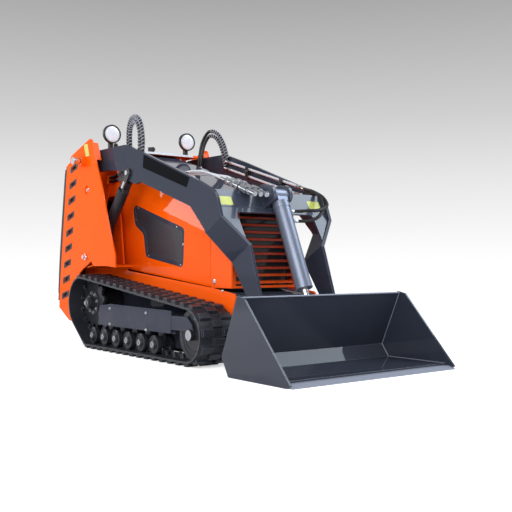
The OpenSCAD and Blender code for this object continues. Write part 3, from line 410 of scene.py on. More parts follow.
for name, side in SIDES:
    out = (0, side, 0)
    shape = bmesh.new()
    for at in rollers_at(side * roller_high.y): turned(shape, hub_ring, at, out)
    fitted("roller_hubs_" + name, shape, satin)
    shape = bmesh.new()
    for at in rollers_at(side * (roller_high.y - 0.010)):
        turned(shape, rim, at, out, 48)
        turned(shape, boss, at, out, 40)
    fitted("roller_rims_" + name, shape, dark)
    shape = bmesh.new()
    turned(shape, idler_ring, (idler.x, face("idler", side), idler.z), out, 40)
    fitted("idler_cap_" + name, shape, satin)
    shape = bmesh.new()
    at = (idler.x, side * (high("idler_left").y - 0.032), idler.z)
    for r in (0.088, 0.112):
        turned(shape, [(-0.001, r), (0.002, r), (0.0035, r - 0.004), (0.002, r - 0.008),
            (-0.001, r - 0.008)], at, out, 64)
    fitted("idler_ribs_" + name, shape, dark)
print("roller pitch", round(pitch, 4))

# %% [markdown]
# ## The window's frame
# A flat frame lies over the perforated plate. Its outline is the panel's opening, and its inner
# edge is the same outline moved inwards by the frame's width.
# %% Outlines and flat plates
def rect(x0, y0, x1, y1): return [(x0, y0), (x1, y0), (x1, y1), (x0, y1)]
def corners_of(outline):
    "Each point with the one before it and the one after it"
    row = [Vector(p) for p in outline]
    return zip(row[-1:] + row[:-1], row, row[1:] + row[:1])
def inset(outline, by):
    "The outline moved inwards; it runs counter-clockwise"
    moved = []
    for a, b, c in corners_of(outline):
        u, v = (b - a).normalized(), (c - b).normalized()
        n, m = Vector((-u.y, u.x)), Vector((-v.y, v.x))
        moved.append(b + (n + m) * by / (1 + n.dot(m)))
    return moved
def rounded(outline, radius, steps=5):
    "Each corner becomes a short curve that begins and ends a radius away from it"
    line = []
    for a, b, c in corners_of(outline):
        r = min(radius, 0.45 * (b - a).length, 0.45 * (c - b).length)
        s, e = b + (a - b).normalized() * r, b + (c - b).normalized() * r
        for k in range(steps + 1):
            t = k / steps
            line.append((s * (1 - t) + b * t) * (1 - t) + (b * (1 - t) + e * t) * t)
    return line
def slab(shape, outline, thick, place, across, up):
    "A flat plate drawn in two directions from a place, standing out by its thickness"
    across, up, place = Vector(across), Vector(up), Vector(place)
    out = across.cross(up).normalized() * thick
    back = [shape.verts.new(place + across * p[0] + up * p[1]) for p in outline]
    front = [shape.verts.new(v.co + out) for v in back]
    shape.faces.new(front)
    shape.faces.new(back[::-1])
    skin(shape, back, front)
def hoop(shape, outer, inner, thick, place, across, up):
    "A flat ring between two outlines with the same number of points"
    across, up, place = Vector(across), Vector(up), Vector(place)
    out = across.cross(up).normalized() * thick
    loops = [[shape.verts.new(place + across * p[0] + up * p[1] + out * h) for p in line]
        for line, h in ((outer, 0), (outer, 1), (inner, 1), (inner, 0))]
    for a, b in zip(loops, loops[1:] + loops[:1]): skin(shape, a, b)
window_line = [(-0.667, 0.946), (-0.632, 0.800), (-0.519, 0.738), (-0.489, 0.590),
    (-0.032, 0.521), (-0.016, 0.757)]
window_bolts = [(-0.590, 0.911), (-0.105, 0.769), (-0.455, 0.598), (-0.060, 0.538),
    (-0.615, 0.835), (-0.036, 0.66)]
frame_outer = rounded(inset(window_line, 0.002), 0.03)
frame_thick, frame_wide = 0.003, 0.026
for name, side in SIDES:
    behind = side * (high("side_panel_left").y - 0.0053)
    shape = bmesh.new()
    hoop(shape, frame_outer, inset(frame_outer, frame_wide), -side * frame_thick, (0, behind, 0),
        FORWARD, UP)
    fitted("window_frame_" + name, shape, slate)
    bolts("window_bolts_" + name, [(x, behind + side * frame_thick, z) for x, z in window_bolts],
        (0, side, 0), 0.010, chrome)
print("window frames at", round(behind, 3))

# %% [markdown]
# ## Panel fasteners and seams
# The side panel is held by a quarter-turn fastener near its front lower corner, and the track
# frame's cover has a seam where its front part begins. On the inner side of each track hangs a dark
# plate as painted shade: without it the lit floor would show between the wheels, where the belly
# throws shade.
# %% Panel fasteners
shade_plate = [(-0.700, 0.0345), (0.290, 0.0345), (0.270, 0.157), (-0.700, 0.157)]
shade_plate_y, shade_plate_thick = 0.3035, 0.004
for name, side in SIDES:
    out = (0, side, 0)
    shape = bmesh.new()
    turned(shape, [(-0.001, 0.015), (0.003, 0.015), (0.005, 0.012), (0.005, 0.007)],
        (0.303, face("side_panel", side), 0.444), out)
    turned(shape, [(-0.001, 0.008), (0.004, 0.008), (0.006, 0.006)],
        (0.458, face("side_plate", side) - side * 0.04, 0.396), out, 6)
    fitted("panel_fastener_" + name, shape, zinc)
    shape = bmesh.new()
    slab(shape, rect(-0.029, 0.166, -0.0265, 0.2845), -side * 0.0008, (0, side * cover, 0),
        FORWARD, UP)
    fitted("cover_seam_" + name, shape, dark)
    # Painted shade: a dark plate on the track's inner side hides the lit floor under the belly.
    shape = bmesh.new()
    slab(shape, rounded(shade_plate, 0.01), -shade_plate_thick,
        (0, side * shade_plate_y - shade_plate_thick / 2, 0), FORWARD, UP)
    fitted("track_shade_plate_" + name, shape, dark)
print("panel fasteners and skirts done")

# %% [markdown]
# ## Following a hose
# The hoses are already in the frame as eight-sided tubes. `route` reads a tube's middle line back
# out of its mesh: starting from the ring at one end it steps from ring to ring, and each ring's
# average is one point of the line. A round hose is then swept along that line again.
# %% Middle lines
def route(node, start):
    "Middle line of the strand of a swept node that begins at start"
    tube = bmesh.new()
    tube.from_mesh(frame["nodes"][node].data)
    bmesh.ops.remove_doubles(tube, verts=tube.verts, dist=0.00002)
    tube.verts.ensure_lookup_table()
    left, islands = set(tube.verts), []
    while left:
        seed = left.pop()
        island, edge = {seed}, [seed]
        while edge:
            near = {e.other_vert(v) for v in edge for e in v.link_edges} - island
            island |= near
            edge = list(near)
        left -= island
        islands.append(island)
    def off(v): return (v.co - Vector(start)).length
    island = min(islands, key=lambda i: min(off(v) for v in i))
    ring = set(sorted(island, key=off)[:8])
    line, seen = [], set()
    while ring:
        line.append(sum((v.co for v in ring), Vector()) / len(ring))
        seen |= ring
        ring = {e.other_vert(v) for v in ring for e in v.link_edges} & island - seen
    tube.free()
    return line
def frames_along(line):
    "Two directions square to the line at each point, turned as little as possible"
    side = (line[1] - line[0]).orthogonal().normalized()
    out = []
    for i, p in enumerate(line):
        ahead = (line[min(i + 1, len(line) - 1)] - line[max(i - 1, 0)]).normalized()
        side = (side - ahead * side.dot(ahead)).normalized()
        out.append((p, side, ahead.cross(side)))
    return out
def swept(shape, line, radius, sides=12, finish=0):
    "A round bar along a line; its radius is a number, or a rule for the point's number"
    rings = [[shape.verts.new(p + (u * c + v * s) * (radius(i) if callable(radius) else radius))
        for c, s in circle(sides)] for i, (p, u, v) in enumerate(frames_along(line))]
    made = [f for a, b in zip(rings, rings[1:]) for f in skin(shape, a, b)]
    made += [shape.faces.new(rings[0][::-1]), shape.faces.new(rings[-1])]
    for f in made: f.material_index = finish
def resampled(line, step):
    "Evenly spaced points along a line"
    out, left = [line[0]], step
    for a, b in zip(line, line[1:]):
        length = (b - a).length
        at = left
        while at <= length:
            out.append(a.lerp(b, at / length))
            at += step
        left = at - length
    return out + [line[-1]]
def coil(line, radius, pitch, start=0.0, end=1.0, per_turn=10):
    "A helix around a part of a line"
    fine = resampled(line, pitch / per_turn)
    n, turn = len(fine), circle(per_turn, radius)
    return [p + u * turn[i % per_turn][0] + v * turn[i % per_turn][1]
        for i, (p, u, v) in enumerate(frames_along(fine)) if start * n <= i <= end * n]
print("hose tools ready")

# %% [markdown]
# ## Hose loops
# Two hoses on each side leave the tower, arch over the arm's root and end on the arm's steel
# tubes. On the machine they bend when the arm rises; here the loops are swept once where the frame
# has them and ride on no body. A spiral guard is wound around them where they could rub. Guard and
# hose are one mesh. The guard makes the hose thicker, so the top of each arch is lowered by 5 mm to
# keep the machine's height.
# %% Hose loops
hose_ends, arch_drop = {}, 0.005
guard_from = {"right": 0.12, "left": 0.58}
for name, side in SIDES:
    shape = bmesh.new()
    for strand in (0, 1):
        line = route("hose_loop_" + name, (-0.86, side * 0.298, 1.126 - 0.026 * strand))
        line = [p - Vector((0, 0, arch_drop * min(1, max(0, (p.z - 1.38) / 0.07)))) for p in line]
        hose_ends[name, strand] = (line[-1], (line[-1] - line[-3]).normalized())
        smooth = resampled(line, 0.012)
        swept(shape, smooth, 0.0107, 14)
        swept(shape, coil(smooth, 0.0122, 0.021, guard_from[name], 0.93), 0.0030, 6, 1)
    finishes = [hose_rubber, guard_grey]
    loops = fitted("hose_loops_" + name, shape, finishes, None, 60)
    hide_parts("hose_loop_" + name)
    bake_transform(loops)
print("hose loops:", {k: tuple(round(c, 3) for c in v[0]) for k, v in hose_ends.items()})

# %% [markdown]
# ## Fittings on the hoses' ends
# A hydraulic hose ends in a crimped ferrule and a hexagon nut that screws onto the tube. Both
# are turned shapes set along the hose's last stretch.
# %% Ferrules and nuts
def ferrule(shape, end, ahead, r):
    "A ferrule and a nut for a hose of that radius, at its end"
    crimp = ((-0.058, 1.12), (-0.056, 1.25), (-0.030, 1.25), (-0.028, 1.15), (-0.026, 1.25),
        (-0.018, 1.25), (-0.016, 0.9), (-0.008, 0.9))
    nut = ((-0.008, 1.22), (-0.006, 1.36), (0.016, 1.36), (0.018, 1.2))
    for profile, sides in ((crimp, 20), (nut, 6)):
        turned(shape, [(x, r * k) for x, k in profile], end, ahead, sides)
for name, side in SIDES:
    shape = bmesh.new()
    for strand in (0, 1): ferrule(shape, *hose_ends[name, strand], 0.0095)
    fitted("hose_ferrules_" + name, shape, zinc, "lift_arms")
print("ferrules fitted")

# %% [markdown]
# ## Tilt hoses
# The two hoses of the tilt cylinder swing out ahead of the left arm and back to its ports. They
# lie against each other on the way, so they are drawn afresh through a few points each with a
# smooth curve, in the space that the frame keeps for them. Their ends on the cylinder turn by
# less than two degrees, so they simply ride on the arms.
# %% Tilt hoses
def curve(points, steps=6):
    "A smooth line through points: each stretch is shaped by its two neighbours"
    p = [Vector(q) for q in points]
    out = []
    for i in range(len(p) - 1):
        a, b, c, d = p[max(i - 1, 0)], p[i], p[i + 1], p[min(i + 2, len(p) - 1)]
        for k in range(steps):
            t = k / steps
            out.append(0.5 * (2 * b + (c - a) * t + (2 * a - 5 * b + 4 * c - d) * t * t
                + (3 * b - a - 3 * c + d) * t ** 3))
    return out + [p[-1]]
tilt_top, tilt_end = Vector(joint["tilt_cylinder_swing"]["pos_m"]), Vector((0.847, 0, 0.300))
port_dir = (tilt_end - tilt_top).normalized()
start_y, port_y = 0.3608, 0.060
shape, ends = bmesh.new(), []
for k, port_at in ((0, 0.097), (1, 0.157)):
    port = tilt_top + port_dir * port_at
    line = curve([(0.314 - 0.014 * k, start_y, 1.014 - 0.044 * k),
        (0.384, start_y, 0.990 - 0.032 * k), (0.470, start_y - 0.008, 0.968 - 0.008 * k),
        (0.560, start_y - 0.014 - 0.020 * k, 0.928),
        (0.640, start_y - 0.054 - 0.030 * k, 0.874 - 0.012 * k),
        (0.672, 0.61 * start_y, 0.842 - 0.034 * k),
        (0.660 + 0.006 * k, (port_y + 0.72 * start_y) / 2, port.z + 0.006),
        (port.x + 0.004, port_y + 0.026, port.z + 0.001), (port.x, port_y, port.z)])
    swept(shape, resampled(line, 0.012), 0.0088, 14)
    swept(shape, coil(line, 0.0096, 0.018, 0.12, 0.85), 0.0016, 5, 1)
    ends += [(a, (a - b).normalized()) for a, b in (line[:-3:-1], line[:2])]
made = fitted("tilt_hose_pair", shape, [hose_rubber, moulded], "lift_arms", 60)
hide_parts("tilt_hoses")
shape = bmesh.new()
for end, ahead in ends: ferrule(shape, end - ahead * 0.018, ahead, 0.0075)
fitted("tilt_hose_ferrules", shape, zinc, "lift_arms")
print("tilt hoses end at", tuple(round(c, 3) for c in ends[0][0]))

# %% [markdown]
# ## Tube clamps
# The steel tubes on the arms' inner faces are held by plastic clamp blocks with a cover plate and
# one bolt through the middle.
# %% Tube clamps
tube_y = high("arm_tubes").y - 0.008
tube_dir = Vector((0.957, 0, -0.29))
tube_starts = {"right": (-0.262, 0, 1.191), "left": (-0.383, 0, 1.228)}
tube_front = (0.300, 0, 1.018)
clamp_line = rounded(rect(-0.016, -0.036, 0.016, 0.036), 0.006)
block_thick, plate_thick = 0.013, 0.003
for name, side in SIDES:
    block, cap, inward = bmesh.new(), bmesh.new(), Vector((0, -side, 0))
    for t in (0.30, 0.82):
        at = Vector(tube_starts[name]).lerp(Vector(tube_front), t)
        at += Vector((-0.007, side * (tube_y - 0.0045), -0.022))
        slab(block, clamp_line, -side * block_thick, at, tube_dir, UP)
        slab(cap, clamp_line, -side * plate_thick, at + inward * block_thick, tube_dir, UP)
        bolt(cap, at + inward * (block_thick + plate_thick), inward, 0.013)
    fitted("tube_clamps_" + name, block, moulded, "lift_arms")
    fitted("clamp_caps_" + name, cap, dark, "lift_arms")
print("tubes at", round(tube_y, 4))

# %% [markdown]
# ## Quick couplers
# A flat-face coupler is a row of turned steps: hexagon nut, body, knurled sleeve and nose. The
# frame has the steps, and this adds the nuts, the sleeve's knurl and the black seal ring.
# %% Coupler details
coupler = [m for m in record["mounts"] if m["name"].startswith("aux_coupler")]
metal_bits, black_bits = bmesh.new(), bmesh.new()
def band(shape, a, b, r, place, along, sides, cut=0.002, fall=0.0015):
    "A turned band from a to b with a chamfer at both ends"
    turned(shape, [(a, r - fall), (a + cut, r), (b - cut, r), (b, r - fall)], place, along, sides)
for m in coupler:
    axis = Vector(m["axis"])
    root = Vector(m["pos_m"]) - axis * 0.130
    u = axis.orthogonal().normalized()
    v = axis.cross(u)
    band(metal_bits, -0.124, -0.096, 0.018, root, axis, 6)
    band(metal_bits, -0.072, -0.044, 0.020, root, axis, 6)
    for c, s in circle(16, 0.0178):
        band(metal_bits, 0.034, 0.080, 0.0024, root + u * c + v * s, axis, 6, fall=0.0008)
    band(black_bits, 0.086, 0.095, 0.0192, root, axis, 24, 0.001, 0.0009)
    band(black_bits, 0.004, 0.017, 0.0150, root, axis, 24, 0.001, 0.0017)
fitted("coupler_nuts", metal_bits, satin, "lift_arms")
fitted("coupler_seals", black_bits, moulded, "lift_arms")
print("couplers:", len(coupler))

# %% [markdown]
# ## Work lamps
# Each lamp has a pale pressed lens behind a thin black ring. The lens is moulded in small
# cushions, which scatter the light and make it look white, so the bump is a close pattern of
# rounded cells. A faint emission in the lens's own colour adds a painted glow, though no lamp is
# lit; the gauge glasses share this finish.
# %% Lamp lenses
def lens_finish():
    f = Finish("lamp_lens")
    cells = f.node("TexVoronoi", {"feature": "F1"},
        {"Vector": f.place(), "Scale": 105.0, "Randomness": 0.25})
    glow = f.mix(f.fade(cells, 0.2, 0.75), rgb(226, 229, 236), rgb(188, 193, 203))
    return f.surface(Base_Color=glow, Roughness=0.12, Normal=f.bump(cells, 0.0015, 0.6),
        # Painted glow: a faint emission in the lens's own colour, with no lamp lit behind it.
        Coat_Weight=0.8, Coat_Roughness=0.03, Emission_Color=glow, Emission_Strength=0.06)
lens_white = lens_finish()
lamp_low, lamp_high = low("work_lamps"), high("work_lamps")
lamp_r, ring_outer, bar_top = 0.063, 0.0625, 1.3115
lens_line = [(-0.006, 0.052), (0.0, 0.0545), (0.002, 0.052), (0.0045, 0.036), (0.006, 0.018),
    (0.0065, 0.002)]
for name, side in SIDES:
    centre = Vector((lamp_high.x - 0.004, side * (lamp_high.y - lamp_r), lamp_high.z - lamp_r))
    shape = bmesh.new()
    turned(shape, lens_line, centre, FORWARD, 48)
    fitted("lamp_lens_" + name, shape, lens_white)
    shape = bmesh.new()
    hoop(shape, circle(64, ring_outer), circle(64, ring_outer * 0.87), 0.0035,
        centre + Vector((0.0005, 0, 0)), LEFT, UP)
    fitted("lamp_ring_" + name, shape, moulded)
    shape = bmesh.new()
    slab(shape, rounded(rect(-0.03, -0.012, 0.03, 0.012), 0.006), 0.004,
        (lamp_low.x + 0.06, centre.y, bar_top), FORWARD, LEFT)
    bolt(shape, (lamp_low.x + 0.075, centre.y + 0.024, bar_top - 0.0002), UP, 0.014)
    fitted("lamp_foot_" + name, shape, moulded)
print("lamps at", tuple(round(c, 3) for c in centre))

# %% [markdown]
# ## Blank plates
# Working machines carry notice plates. Here they are left blank: a yellow-green plate on each
# half of the cross-member and on each tower, and a long black one on each arm.
# %% Blank plates
def plate_finish(name, colour, gloss=0.4, shine=0.5):
    f = Finish(name)
    mottled = f.mix(f.fade(f.noise(40.0, 3.0), 0.3, 0.7), colour, shade(colour, 0.9))
    return f.surface(Base_Color=mottled, Roughness=0.5 + 0.1 * f.noise(120.0, 2.0),
        Normal=f.bump(f.noise(500.0, 1.0), 0.00003), Coat_Weight=gloss, Coat_Roughness=0.08,
        Specular_IOR_Level=shine)
notice = plate_finish("blank_notice_yellow", rgb(196, 204, 92))
black_plate = plate_finish("blank_plate_black", rgb(20, 21, 25), 0.08, 0.0)
down, lean = Vector((0.511, 0, -0.860)), Vector((0.860, 0, 0.511))
cross_face = Vector((0.574, 0, 0.800))
plate_top, plate_high, notice_thick = 0.040 - 0.1605, 0.094 - 0.040, 0.0012
tower_line = [(-0.925, 1.345), (-0.872, 1.345), (-0.842, 1.262), (-0.895, 1.262)]
arm_line = [(-0.232, 1.206), (-0.242, 1.128), (0.255, 0.968), (0.287, 1.020)]
shape = bmesh.new()
for y0, y1 in ((-0.362, -0.272), (0.262, 0.352)):
    slab(shape, rounded(rect(y0, -plate_high, y1, 0), 0.006), notice_thick,
        cross_face + down * plate_top + lean * 0.0006, LEFT, -down)
fitted("crossmember_plates", shape, notice, "lift_arms")
for name, side in SIDES:
    shape = bmesh.new()
    slab(shape, rounded(tower_line, 0.006), -side * notice_thick,
        (0, face("tower", side) - side * 0.0338, 0), FORWARD, UP)
    fitted("tower_plate_" + name, shape, notice)
    shape = bmesh.new()
    slab(shape, rounded(arm_line, 0.006), -side * 0.0010, (0, side * 0.3893, 0), FORWARD, UP)
    fitted("arm_plate_" + name, shape, black_plate, "lift_arms")
print("plates on")

# %% [markdown]
# ## Pins with a bolt in each end
# The tilt cylinder's upper pin ends outside its two ears, and the arms' pivot pins outside the
# towers. Each end gets a thick washer, and the tilt pin a bolt head. The round hole in each tower
# shows a bolt that holds the sheet behind it.
# %% Pin ends
cap_line = [(-0.001, 0.019), (0.004, 0.019), (0.006, 0.017), (0.006, 0.012)]
washer_line = [(0.0, 0.024), (0.002, 0.0262), (0.011, 0.0262), (0.0125, 0.024)]
shape = bmesh.new()
for side in (-1, 1):
    at = tilt_top + Vector((0, side * 0.0762, 0))
    turned(shape, cap_line, at, (0, side, 0), 28)
    bolt(shape, at + Vector((0, side * 0.006, 0)), (0, side, 0), 0.016)
fitted("tilt_pin_ends", shape, satin, "lift_arms")
pin_y, sheet_y = high("pivot_pins").y, face("tower", 1) - 0.044
for name, side in SIDES:
    shape = bmesh.new()
    turned(shape, washer_line, (arm_pivot.x, side * (pin_y - 0.013), arm_pivot.z), (0, side, 0), 36)
    fitted("pivot_washer_" + name, shape, zinc)
    shape = bmesh.new()
    at = (-0.885, side * sheet_y, 1.038)
    turned(shape, [(-0.004, 0.037), (0.0002, 0.037)], at, (0, side, 0), 32)
    fitted("tower_hole_plate_" + name, shape, orange)
    bolts("tower_hole_bolt_" + name, [at], (0, side, 0), 0.022)
print("pin ends at", round(pin_y, 3))

# %% [markdown]
# ## Slot shade rings
# A row of slanted slots runs up the rear edge of each tower. Around each slot lies a flat black
# ring, widest at its two ends, as painted shade that makes the dark opening look larger. The slots
# lie evenly between the first and the last one.
# %% Slot shade rings
SLOTS = 9
inner_line = rounded([(-0.037, -0.0225), (0.034, -0.0045), (0.037, 0.0195),
    (-0.033, 0.0025)], 0.006)
shade_ring_line = rounded([(-0.060, -0.038), (0.056, -0.009), (0.060, 0.034),
    (-0.056, 0.008)], 0.012)
first_slot, last_slot = Vector((-1.086, 0, 1.206)), Vector((-1.232, 0, 0.334))
for name, side in SIDES:
    shape = bmesh.new()
    for k in range(SLOTS):
        at = first_slot.lerp(last_slot, k / (SLOTS - 1))
        at.y = side * (face("tower", 1) - 0.0342)
        # Painted shade: a black ring around each slot makes the dark opening look larger.
        hoop(shape, shade_ring_line, inner_line, -side * 0.0012, at, FORWARD, UP)
    fitted("slot_shade_ring_" + name, shape, moulded)
print("slot shade rings:", SLOTS * len(SIDES))

# %% [markdown]
# ## The back
# The back panel is one bent sheet. It gets what a service panel needs: bolts down both edges,
# rubber bumper strips beside them, pressed vents low down, a knee pad and a grab handle. The
# sheet leans, so a place on it is found by its height: `on_back` walks along the bend line.
# %% On the back panel
bend = [(-1.204, 1.226), (-1.262, 0.856), (-1.303, 0.590), (-1.336, 0.370), (-1.347, 0.290)]
def on_back(y, z):
    "A point on the outer face of the back panel and the two directions along and out of it"
    for (x1, z1), (x0, z0) in zip(bend, bend[1:]):
        if z0 <= z <= z1: break
    up = Vector((x1 - x0, 0, z1 - z0)).normalized()
    out = Vector((-up.z, 0, up.x))
    return Vector((x0 + (x1 - x0) * (z - z0) / (z1 - z0), y, z)) + out * 0.008, up, out
shape = bmesh.new()
for z in (0.43, 0.58, 0.72, 0.87, 1.02, 1.17):
    for y in (-0.422, 0.422):
        at, _, out = on_back(y, z)
        bolt(shape, at, out, 0.016)
fitted("back_bolts", shape, zinc)
thickness = ((1.205, 0.014), (1.17, 0.020), (0.856, 0.022), (0.590, 0.020), (0.370, 0.0095),
    (0.340, 0.005))
face_line = [(on_back(0, z)[0], t) for z, t in thickness]
strip = [(p.x + 0.0005, p.z) for p, _ in face_line] + [(p.x - t, p.z) for p, t in face_line[::-1]]
strip_wide, strip_y = 0.020, 0.4485
for name, side in SIDES:
    shape = bmesh.new()
    slab(shape, strip, strip_wide, (0, side * strip_y + strip_wide / 2, 0), FORWARD, UP)
    fitted("bumper_strip_" + name, shape, moulded)
shape = bmesh.new()
for k in range(6):
    for y in (-0.17, 0.17):
        at, up, _ = on_back(y, 0.46 + 0.042 * k)
        for h, w, t in ((0.020, 0.130, 0.004), (0.014, 0.124, 0.008)):
            slab(shape, rounded(rect(-w, 0, w, h), 0.009), -t, at, LEFT, up)
fitted("back_vents", shape, dark)
shape = bmesh.new()
at, up, _ = on_back(0, 0.885)
pad_wide, pad_high, pad_gap = 0.15, 0.235, 0.002
for k in range(4):
    y0 = -0.30 + pad_wide * k
    for edge, t in ((0.0, 0.010), (0.004, 0.015), (0.010, 0.018)):
        slab(shape, rounded(rect(y0 + pad_gap + edge, edge, y0 + pad_wide - pad_gap - edge,
            pad_high - edge), 0.018), -t, at, LEFT, up)
fitted("knee_pad", shape, moulded)
shape = bmesh.new()
at, _, out = on_back(0, 0.785)
half_grip = [(-0.11, -0.002), (-0.11, 0.020), (-0.104, 0.034), (-0.088, 0.040)]
grip = half_grip + [(-y, o) for y, o in half_grip[::-1]]
swept(shape, curve([at + Vector((0, y, 0)) + out * o for y, o in grip], 4), 0.008, 14)
foot_line = [(-0.001, 0.019), (0.004, 0.019), (0.006, 0.016)]
for y in (-0.11, 0.11): turned(shape, foot_line, at + Vector((0, y, 0)), out, 24)
fitted("grab_handle", shape, dark)
print("back panel fitted out")

# %% [markdown]
# ## The driver's console
# On each side of the levers lies a black instrument plate. The left one carries two gauges and
# the right one the key switch and a row of rockers. Rubber bellows stand around the levers.
# %% Console
top, plate_face = 1.310, 1.310 + 0.003
gauge = [(0, 0.029), (0.006, 0.029), (0.008, 0.027), (0.008, 0.0245), (0.0055, 0.0245)]
gauge_glass = [(0.0, 0.0245), (0.0062, 0.0245), (0.0068, 0.020), (0.0070, 0.004)]
bellows = [(0.0, 0.024), (0.004, 0.024), (0.006, 0.020), (0.010, 0.0215), (0.013, 0.018),
    (0.017, 0.0195), (0.020, 0.014), (0.024, 0.012)]
key_x, key_y = -1.095, -0.225
plate, dials, glass = bmesh.new(), bmesh.new(), bmesh.new()
for side in (-1, 1):
    corners = rounded(rect(-1.140, 0.19, -1.000, 0.335), 0.012)
    slab(plate, [(x, side * y) for x, y in corners][::side], 0.003, (0, 0, top), FORWARD, LEFT)
    for x in (-1.130, -1.010):
        for y in (0.20, 0.325): bolt(dials, (x, side * y, plate_face), UP, 0.008)
for y in (0.228, 0.297):
    turned(dials, gauge, (-1.07, y, top + 0.002), UP, 36)
    turned(glass, gauge_glass, (-1.07, y, top + 0.002), UP, 36)
turned(dials, [(0, 0.016), (0.006, 0.016), (0.009, 0.013), (0.009, 0.006)],
    (key_x, key_y, top + 0.002), UP, 28)
slab(dials, rounded(rect(-0.002, -0.009, 0.002, 0.009), 0.001), 0.026,
    (key_x, key_y, top + 0.010), FORWARD, LEFT)
for k in range(3):
    for t, x, y in ((0.004, 0.016, 0.010), (0.009, 0.013, 0.007)):
        slab(plate, rounded(rect(-x, -y, x, y), 0.003), t,
            (-1.060, -0.222 - 0.036 * k, plate_face), FORWARD, LEFT)
for y in (-0.150, -0.060, 0.060, 0.150): turned(plate, bellows, (-1.070, y, top), UP, 28)
fitted("console_plates", plate, moulded)
fitted("console_dials", dials, zinc)
# The gauge glass takes the lens finish, with its painted glow.
fitted("gauge_faces", glass, lens_white)
print("console fitted out")

# %% [markdown]
# ## On the hood
# The hood's roof is a separate sheet held by bolts along both edges, with a lifting latch at its
# front end. Its slope follows from the height of its two ends. Along the folded front edge of the
# bar that carries the lamps lies a thin bright strip, a painted highlight on the fold.
# %% Hood bolts
back_x, back_z, front_x, front_z = -0.806, 1.297, 0.466, 0.902
fall = (front_z - back_z) / (front_x - back_x)
across = Vector((1, 0, fall)).normalized()
out = Vector((-across.z, 0, across.x))
def on_roof(x, y): return Vector((x, y, back_z + (x - back_x) * fall))
shape = bmesh.new()
for x in (-0.72, -0.46, -0.20, 0.06, 0.32):
    for side in (-1, 1): bolt(shape, on_roof(x, side * 0.170) + out * 0.0003, out, 0.014)
fitted("hood_bolts", shape, zinc)
shape = bmesh.new()
for half, t in ((0.030, 0.004), (0.024, 0.009)):
    slab(shape, rounded(rect(-half, -half * 1.6, half, half * 1.6), 0.008), t,
        on_roof(0.405, 0), across, LEFT)
fitted("hood_latch", shape, moulded)
# Painted highlight: a bright strip along the lamp bar's folded edge.
shape = bmesh.new()
slab(shape, rounded(rect(-0.285, -0.0006, 0.285, 0.0182), 0.003), 0.0014,
    (-0.735, 0, 1.296), LEFT, (-0.555, 0, 0.832))
fitted("lamp_bar_highlight_strip", shape, bright_tube)
print("hood fall", round(fall, 4))

# %% [markdown]
# ## Weld beads
# Thick plates are joined by fillet welds. A bead is a bar whose radius ripples as the molten
# pool did, half sunk into the corner that it fills. A bright steel bead along the bucket's lip is a
# painted highlight on its top edge.
# %% Weld beads
def bead(shape, a, b, radius, ripple=0.006):
    a, b = Vector(a), Vector(b)
    n = max(4, int((b - a).length / (ripple / 2)))
    line = [a.lerp(b, k / n) for k in range(n + 1)]
    swept(shape, line, lambda i: radius * (1.0 + 0.13 * math.cos(math.pi * i)), 8)
shape = bmesh.new()
inner = high("bucket_shell").y - 0.0105
shell_line = [(1.285, 0.0253), (0.889, 0.0253), (0.841, 0.092), (0.973, 0.383)]
for side in (-1, 1):
    for (x0, z0), (x1, z1) in zip(shell_line, shell_line[1:]):
        bead(shape, (x0, side * inner, z0), (x1, side * inner, z1), 0.0026)
fitted("bucket_welds", shape, edge_steel, "bucket")
# Painted highlight: a bright steel bead along the bucket's top edge.
shape = bmesh.new()
bead(shape, (0.9755, -inner, 0.3835), (0.9755, inner, 0.3835), 0.0042, 0.02)
fitted("bucket_lip_highlight", shape, edge_steel, "bucket")
shape = bmesh.new()
for side in (-1, 1):
    bead(shape, (0.4965, side * 0.369, 0.937), (0.571, side * 0.369, 0.812), 0.004)
fitted("arm_welds", shape, slate, "lift_arms")
print("welds done")

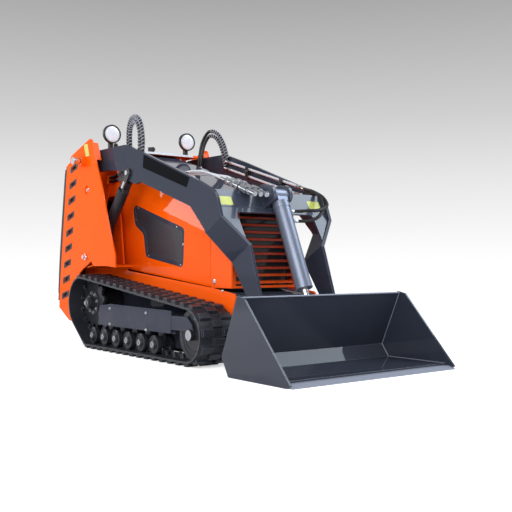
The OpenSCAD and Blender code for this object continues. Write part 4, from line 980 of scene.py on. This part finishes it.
# %% [markdown]
# ## The studio
# A pale seamless floor runs out to a backdrop that darkens upwards. The large key light stands in
# front on the right, and a cooler one high in front on the left. Behind, one light on the right
# brightens the shoulder of the housing and a weak one on the left the roof. The backdrop's grey
# is only seen: camera rays and reflections get it, and the light on the machine is even.
# %% Floor and lights
def floor_finish():
    f = Finish("studio_floor")
    seen = f.node("LightPath", output="Is Camera Ray")
    paint = f.node("BsdfDiffuse", {}, {"Color": (0.80, 0.80, 0.80, 1)})
    white = f.node("Emission", {}, {"Color": (1, 1, 1, 1), "Strength": seen * 0.5})
    return f.shown(f.node("AddShader", {}, {0: paint, 1: white}))
bpy.ops.mesh.primitive_plane_add(size=60, location=(0, 0, -0.0005))
floor = bpy.context.object
floor.name = "studio_floor"
floor.data.materials.append(floor_finish())
def soft_light(name, place, size, power, toward=(0, 0, 0.6), tint=(1, 1, 1)):
    lamp = bpy.data.lights.new(name, "AREA")
    lamp.shape, lamp.size, lamp.size_y, lamp.energy = "RECTANGLE", size[0], size[1], power
    lamp.color = tint
    holder = placed(name, lamp)
    holder.location = place
    holder.rotation_euler = (Vector(toward) - Vector(place)).to_track_quat("-Z", "Y").to_euler()
soft_light("key_light", (3.6, -4.2, 2.9), (4.8, 3.4), 185)
soft_light("front_light", (2.0, 2.9, 4.2), (3, 3), 140, (0.6, 0, 0.6), (0.80, 0.90, 1.0))
soft_light("shoulder_light", (-3.9, -3.6, 2.8), (2.4, 1.3), 84, (0, -0.2, 0.85))
soft_light("roof_light", (-4.3, 3.7, 3.4), (3, 2), 30, (0, 0, 1.0))
print("studio lit")

# %% Backdrop
backdrop = Finish(bpy.data.worlds.new("studio_world"), "OutputWorld")
direction = backdrop.node("TexCoord", output="Generated")
height = backdrop.node("SeparateXYZ", {}, {0: direction}, "Z")
levels = ((0.0, 255), (0.012, 254), (0.058, 243), (0.108, 231), (0.182, 208), (0.252, 189),
    (0.32, 169), (0.7, 150))
greys = backdrop.node("ValToRGB", {"stops": [(at, grey(level)) for at, level in levels]},
    {0: height})
def ray(kind): return backdrop.node("LightPath", output="Is %s Ray" % kind)
seen = (ray("Camera") + ray("Glossy") + ray("Transmission")).clamp()
even = backdrop.node("Background", {}, {0: (0.96, 0.97, 1.0, 1), 1: 0.80})
wall = backdrop.node("Background", {}, {0: greys, 1: 1.0})
sky = backdrop.node("MixShader", {}, {0: seen, 1: even, 2: wall})
bpy.context.scene.world = backdrop.shown(sky)
bpy.context.scene.view_settings.view_transform = "Standard"
print("backdrop hung")
